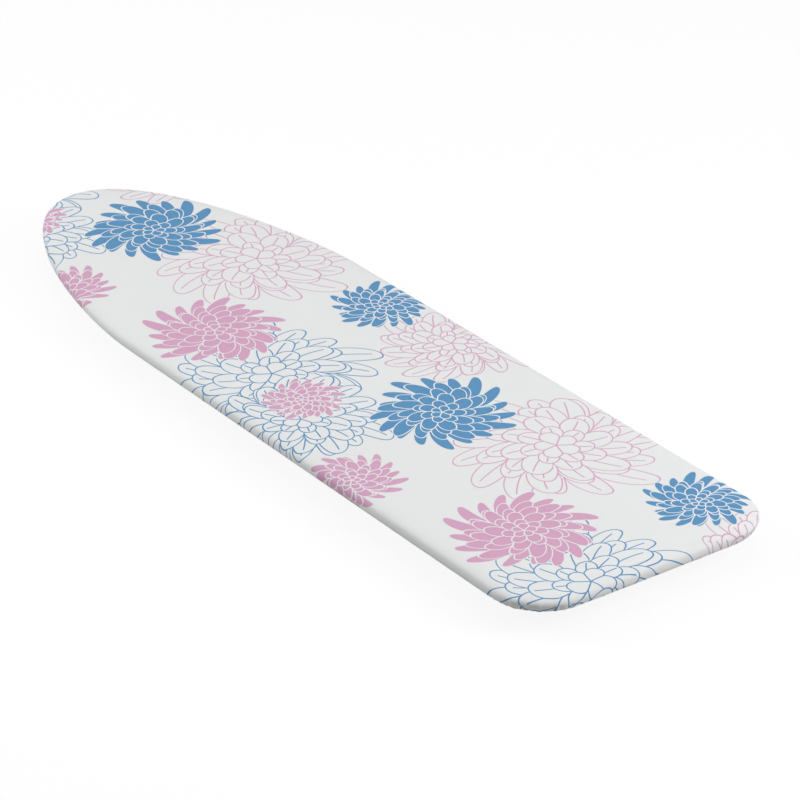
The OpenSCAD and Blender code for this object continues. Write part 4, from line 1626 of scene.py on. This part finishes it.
def weld_bead(bar_x, tube_y, tube_r, bar_r, side, radius, along):
    """Points of one rippled weld bead where a tube's end meets a crossing bar, in the leg's frame.

    along is True where the tube runs along x into the bar, and False where it runs along y."""
    around = 72
    section = 8
    rows = []
    for angle in turns(around):
        a = tube_r * math.cos(angle)
        b = tube_r * math.sin(angle)
        back = math.sqrt(max(bar_r**2 - b**2, 0.0))
        if along:
            centre = Vector((bar_x - side * back, tube_y + a, b))
            out = Vector((0, math.cos(angle), math.sin(angle)))
            lean = Vector((-side, 0, 0))
        else:
            centre = Vector((bar_x + a, tube_y + side * back, b))
            out = Vector((math.cos(angle), 0, math.sin(angle)))
            lean = Vector((0, side, 0))
        scales = WELD_SCALES[0] * math.sin(angle * WELD_SCALES[1])
        wander = WELD_WANDER[0] * math.sin(angle * WELD_WANDER[1] + 1)
        thick = radius * (1 + scales + wander)
        for turn in turns(section):
            rows.append(centre + (out * math.cos(turn) + lean * math.sin(turn)) * thick)
    return rows, ring_faces(around, section, closed=True)


def in_leg_frame(points, pivot, tilt):
    """Points of a leg's own frame, placed in the board's."""
    place = Matrix.Translation(pivot) @ Matrix.Rotation(tilt, 4, "Y")
    return [place @ Vector(p) for p in points]


class BOARD_OT_welds(bpy.types.Operator):
    """Lays the weld beads at the feet and the brace"""

    bl_idname = "ironing_board.welds"
    bl_label = "Welds"

    def execute(self, context):
        radius = context.scene.board_hardware.weld_radius
        hinge = node_middle("hinge_axle")
        slider = node_middle("slider_bar")
        # Each bead is (bar's distance, tube's y, tube's radius, bar's radius, side, along)
        jobs = {
            "inner_welds": ("inner_leg", hinge, REST_TILT, [
                (LEG_LENGTH, INNER_LEG_Y, LEG_R, LEG_R, 1, True),
                (LEG_LENGTH, -INNER_LEG_Y, LEG_R, LEG_R, 1, True),
                (BRACE_DISTANCE, INNER_LEG_Y, BRACE_R, LEG_R, -1, False),
                (BRACE_DISTANCE, -INNER_LEG_Y, BRACE_R, LEG_R, 1, False),
            ]),
            "outer_welds": ("outer_leg", slider, -REST_TILT, [
                (-LEG_LENGTH, OUTER_LEG_Y, LEG_R, LEG_R, -1, True),
                (-LEG_LENGTH, -OUTER_LEG_Y, LEG_R, LEG_R, -1, True),
            ]),
        }
        for name, (body, pivot, tilt, beads) in jobs.items():
            points = []
            faces = []
            for bar_x, tube_y, tube_r, bar_r, side, along in beads:
                bead, quads = weld_bead(bar_x, tube_y, tube_r, bar_r, side, radius, along)
                start = len(points)
                points += bead
                faces += [tuple(start + k for k in quad) for quad in quads]
            piece = new_object(name, in_leg_frame(points, pivot, tilt), faces, finish("paint"))
            face_outward(piece)
            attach(piece, body)
        return {"FINISHED"}


# The handle: the shares of its length that its tip and its root round off over, how full and how
# wide the root is against the rest, and the finger ridges with the stretch that they lie on
TIP_SHARE = 0.22
ROOT_SHARE = 0.05
ROOT_FULLNESS = 0.8
ROOT_WIDTH = 0.86
RIDGES = 7
RIDGE_DEPTH = 0.09
RIDGES_FROM = 0.2
RIDGES_TO = 0.8


def rounding(share):
    """How full a quarter round is, at a share of its depth."""
    return (1 - (1 - min(share, 1)) ** 2) ** 0.5


class BOARD_OT_handle(bpy.types.Operator):
    """Moulds the lever's handle with finger ridges"""

    bl_idname = "ironing_board.handle"
    bl_label = "Handle"

    def execute(self, context):
        low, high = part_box("lever_grip")
        middle = (low + high) / 2
        half = (high - low) / 2
        sections = 44
        around = 32
        rows = []
        for i in range(sections):
            share = i / (sections - 1)
            along = 0.5 - 0.5 * math.cos(math.pi * share)
            y = high.y - 2 * half.y * along
            tip = min(1.0, rounding((1 - along) / TIP_SHARE) + 0.02)
            root = ROOT_FULLNESS + (1 - ROOT_FULLNESS) * rounding(along / ROOT_SHARE)
            wave = 0.5 + 0.5 * math.cos(along * 2 * math.pi * RIDGES)
            ridge = 1 - RIDGE_DEPTH * wave * (RIDGES_FROM < along < RIDGES_TO)
            width = half.x * (ROOT_WIDTH + (1 - ROOT_WIDTH) * along) * tip * root
            thick = half.z * min(tip * 1.25, 1.0) * root * ridge
            for turn in turns(around):
                x = width * rounded(math.cos(turn), 0.55)
                z = thick * rounded(math.sin(turn), 0.7)
                rows.append((middle.x + x, y, middle.z + z))
        piece = new_object("lever_handle", rows, capped_faces(sections, around), finish("grip"))
        face_outward(piece)
        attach(piece, "lock")
        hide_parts("lever_grip")
        return {"FINISHED"}


# Finishes of the frame's parts, by the start of a part's name. The first that fits is the one.
PART_FINISHES = (
    ("paint", (
        "top_sheet", "edge_frame", "cross_rib", "slide_rail",
        "inner_tube", "inner_brace", "inner_foot_bar", "outer_tube", "outer_foot_bar",
    )),
    ("nylon", ("hinge_bush", "cross_bush", "cross_spacer", "glide", "shaft_bearing")),
    ("grey_plastic", ("inner_plug", "outer_plug")),
    ("rubber", ("inner_foot_cap", "outer_foot_cap")),
    ("zinc_long", ("lock_shaft", "lock_comb")),
    ("zinc", ("hinge", "rail_rivets", "slider", "cross", "lock_lever")),
    ("grip", ("lever_grip",)),
    ("elastic", ("cover_elastic",)),
    ("cotton", ("cover",)),
    ("foam", ("foam_pad",)),
)


class BOARD_OT_finishes(bpy.types.Operator):
    """Gives every part of the frame its paint, plate, plastic or rubber"""

    bl_idname = "ironing_board.finishes"
    bl_label = "Frame finishes"

    def execute(self, context):
        for name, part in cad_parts.items():
            found = [key for key, starts in PART_FINISHES if name.startswith(starts)]
            if not found:
                raise RuntimeError(f"no finish is named for {name}")
            part.data.materials.clear()
            part.data.materials.append(finish(found[0]))
        return {"FINISHED"}


class BOARD_OT_declare(bpy.types.Operator):
    bl_idname = "ironing_board.declare_cloth"
    bl_label = "Declare the cloth"

    def execute(self, context):
        return {"FINISHED"}


# ==== studio ====

# Place and size of each light
TOP_LIGHT = ((0.0, -0.2, 3.6), 3.0)
NOSE_LIGHT = ((2.2, 2.2, 1.9), 1.6)
HEEL_LIGHT = ((-2.4, -1.7, 1.9), 1.6)

# Half the floor's width, the share of the view that it lets through, and where the camera aims
FLOOR_HALF = 7.0
FLOOR_CLEAR = 0.9
AIM = (-0.12254, 0.00332)


def area_light(name, light, target, power):
    """A soft square light that faces a point."""
    place, size = light
    lamp = bpy.data.lights.new(name, "AREA")
    lamp.shape = "SQUARE"
    lamp.size = size
    lamp.energy = power
    holder = bpy.data.objects.new(name, lamp)
    holder.location = place
    holder.rotation_mode = "QUATERNION"
    holder.rotation_quaternion = (Vector(target) - Vector(place)).to_track_quat("-Z", "Y")
    bpy.context.scene.collection.objects.link(holder)
    return holder


def seen_rays(tree, path):
    """1 for what the camera sees, also in gloss and through glass."""
    seen = calc(tree, "MAXIMUM", path.outputs["Is Camera Ray"], path.outputs["Is Glossy Ray"])
    return calc(tree, "MAXIMUM", seen, path.outputs["Is Transmission Ray"])


def blend_shaders(tree, share, first, second, out):
    """Two shaders blended by a share, into the output."""
    mix = tree.nodes.new("ShaderNodeMixShader")
    tree.links.new(share, mix.inputs[0])
    tree.links.new(first.outputs[0], mix.inputs[1])
    tree.links.new(second.outputs[0], mix.inputs[2])
    tree.links.new(mix.outputs[0], out.inputs[0])


def floor_material():
    """A pale floor that reads white, keeps a faint shadow and doesn't hide the legs when they open."""
    material = bpy.data.materials.new("studio_floor")
    tree, out = bare_nodes(material, "ShaderNodeOutputMaterial")
    matt = tree.nodes.new("ShaderNodeBsdfDiffuse")
    clear = tree.nodes.new("ShaderNodeBsdfTransparent")
    path = tree.nodes.new("ShaderNodeLightPath")
    grey = (0.5, 0.5, 0.5, 1.0)
    white = (0.97, 0.97, 0.97, 1.0)
    feed(tree, matt.inputs["Color"], blend_colour(tree, path.outputs["Is Camera Ray"], grey, white))
    seen = calc(tree, "MAXIMUM", seen_rays(tree, path), path.outputs["Is Shadow Ray"])
    blend_shaders(tree, calc(tree, "MULTIPLY", seen, FLOOR_CLEAR), matt, clear, out)
    return material


def white_light(tree, strength):
    """A white background of some strength."""
    node = tree.nodes.new("ShaderNodeBackground")
    node.inputs["Color"].default_value = (1.0, 1.0, 1.0, 1.0)
    node.inputs["Strength"].default_value = strength
    return node


def room_world(strength):
    """An even grey room that the camera sees as white."""
    world = bpy.data.worlds.new("studio_room")
    tree, out = bare_nodes(world, "ShaderNodeOutputWorld")
    light = white_light(tree, strength)
    backdrop = white_light(tree, 1.0)
    path = tree.nodes.new("ShaderNodeLightPath")
    blend_shaders(tree, seen_rays(tree, path), light, backdrop, out)
    return world


def studio_camera(stage, middle):
    """The camera, which stands in its direction from the middle of the top."""
    out = math.cos(stage.elevation)
    back = Vector((
        math.sin(stage.azimuth) * out,
        -math.cos(stage.azimuth) * out,
        math.sin(stage.elevation),
    ))
    lens = bpy.data.cameras.new("studio_camera")
    lens.sensor_width = 36.0
    lens.lens = stage.lens
    lens.clip_end = 100.0
    camera = bpy.data.objects.new("studio_camera", lens)
    bpy.context.scene.collection.objects.link(camera)
    camera.location = Vector(middle) + back * stage.distance
    aim = Vector((*AIM, TOP_Z))
    camera.rotation_mode = "QUATERNION"
    camera.rotation_quaternion = (aim - camera.location).to_track_quat("-Z", "Y")
    return camera


class BOARD_OT_stage(bpy.types.Operator):
    """Sets the floor, the room, the lights and the camera"""

    bl_idname = "ironing_board.stage"
    bl_label = "Studio"

    def execute(self, context):
        scene = context.scene
        stage = scene.board_stage
        corners = [(x * FLOOR_HALF, y * FLOOR_HALF, 0) for x, y in ((-1, -1), (1, -1), (1, 1), (-1, 1))]
        floor = new_object("studio_floor", corners, [(0, 1, 2, 3)], floor_material(), smooth=False)
        scene.world = room_world(stage.room)
        middle = (0.0, 0.0, TOP_Z)
        area_light("top_light", TOP_LIGHT, middle, stage.top_power)
        area_light("nose_light", NOSE_LIGHT, middle, stage.nose_power)
        area_light("heel_light", HEEL_LIGHT, middle, stage.heel_power)
        scene.camera = studio_camera(stage, middle)
        scene.view_settings.view_transform = "Standard"
        return {"FINISHED"}


# ==== sidebar and start ====


class BOARD_PT_sidebar(bpy.types.Panel):
    """Sizes, colours and steps of the ironing board"""

    bl_idname = "BOARD_PT_sidebar"
    bl_label = "Ironing Board"
    bl_space_type = "VIEW_3D"
    bl_region_type = "UI"
    bl_category = "Ironing Board"

    def draw(self, context):
        layout = self.layout
        scene = context.scene
        for title, settings in (
            ("Cover", scene.board_cover),
            ("Colours", scene.board_colours),
            ("Hardware", scene.board_hardware),
            ("Studio", scene.board_stage),
        ):
            box = layout.box()
            box.label(text=title)
            for name in type(settings).__annotations__:
                box.prop(settings, name)
        for step in STEPS:
            layout.operator(step.bl_idname)


STEPS = (
    BOARD_OT_finishes,
    BOARD_OT_pad,
    BOARD_OT_cover,
    BOARD_OT_stitching,
    BOARD_OT_elastic,
    BOARD_OT_declare,
    BOARD_OT_vent_rims,
    BOARD_OT_rivets,
    BOARD_OT_welds,
    BOARD_OT_handle,
    BOARD_OT_stage,
)
SETTINGS = {
    "board_cover": CoverSettings,
    "board_colours": ColourSettings,
    "board_hardware": HardwareSettings,
    "board_stage": StageSettings,
}


def register():
    """Registers the settings, the steps and the sidebar."""
    for name, kind in SETTINGS.items():
        bpy.utils.register_class(kind)
        setattr(bpy.types.Scene, name, bpy.props.PointerProperty(type=kind))
    for step in STEPS:
        bpy.utils.register_class(step)
    bpy.utils.register_class(BOARD_PT_sidebar)


def unregister():
    """Removes what register added."""
    bpy.utils.unregister_class(BOARD_PT_sidebar)
    for step in reversed(STEPS):
        bpy.utils.unregister_class(step)
    for name, kind in SETTINGS.items():
        delattr(bpy.types.Scene, name)
        bpy.utils.unregister_class(kind)


def main():
    """Runs every step in order."""
    register()
    for step in STEPS:
        group, name = step.bl_idname.split(".")
        getattr(getattr(bpy.ops, group), name)()


if __name__ == "__main__":
    main()
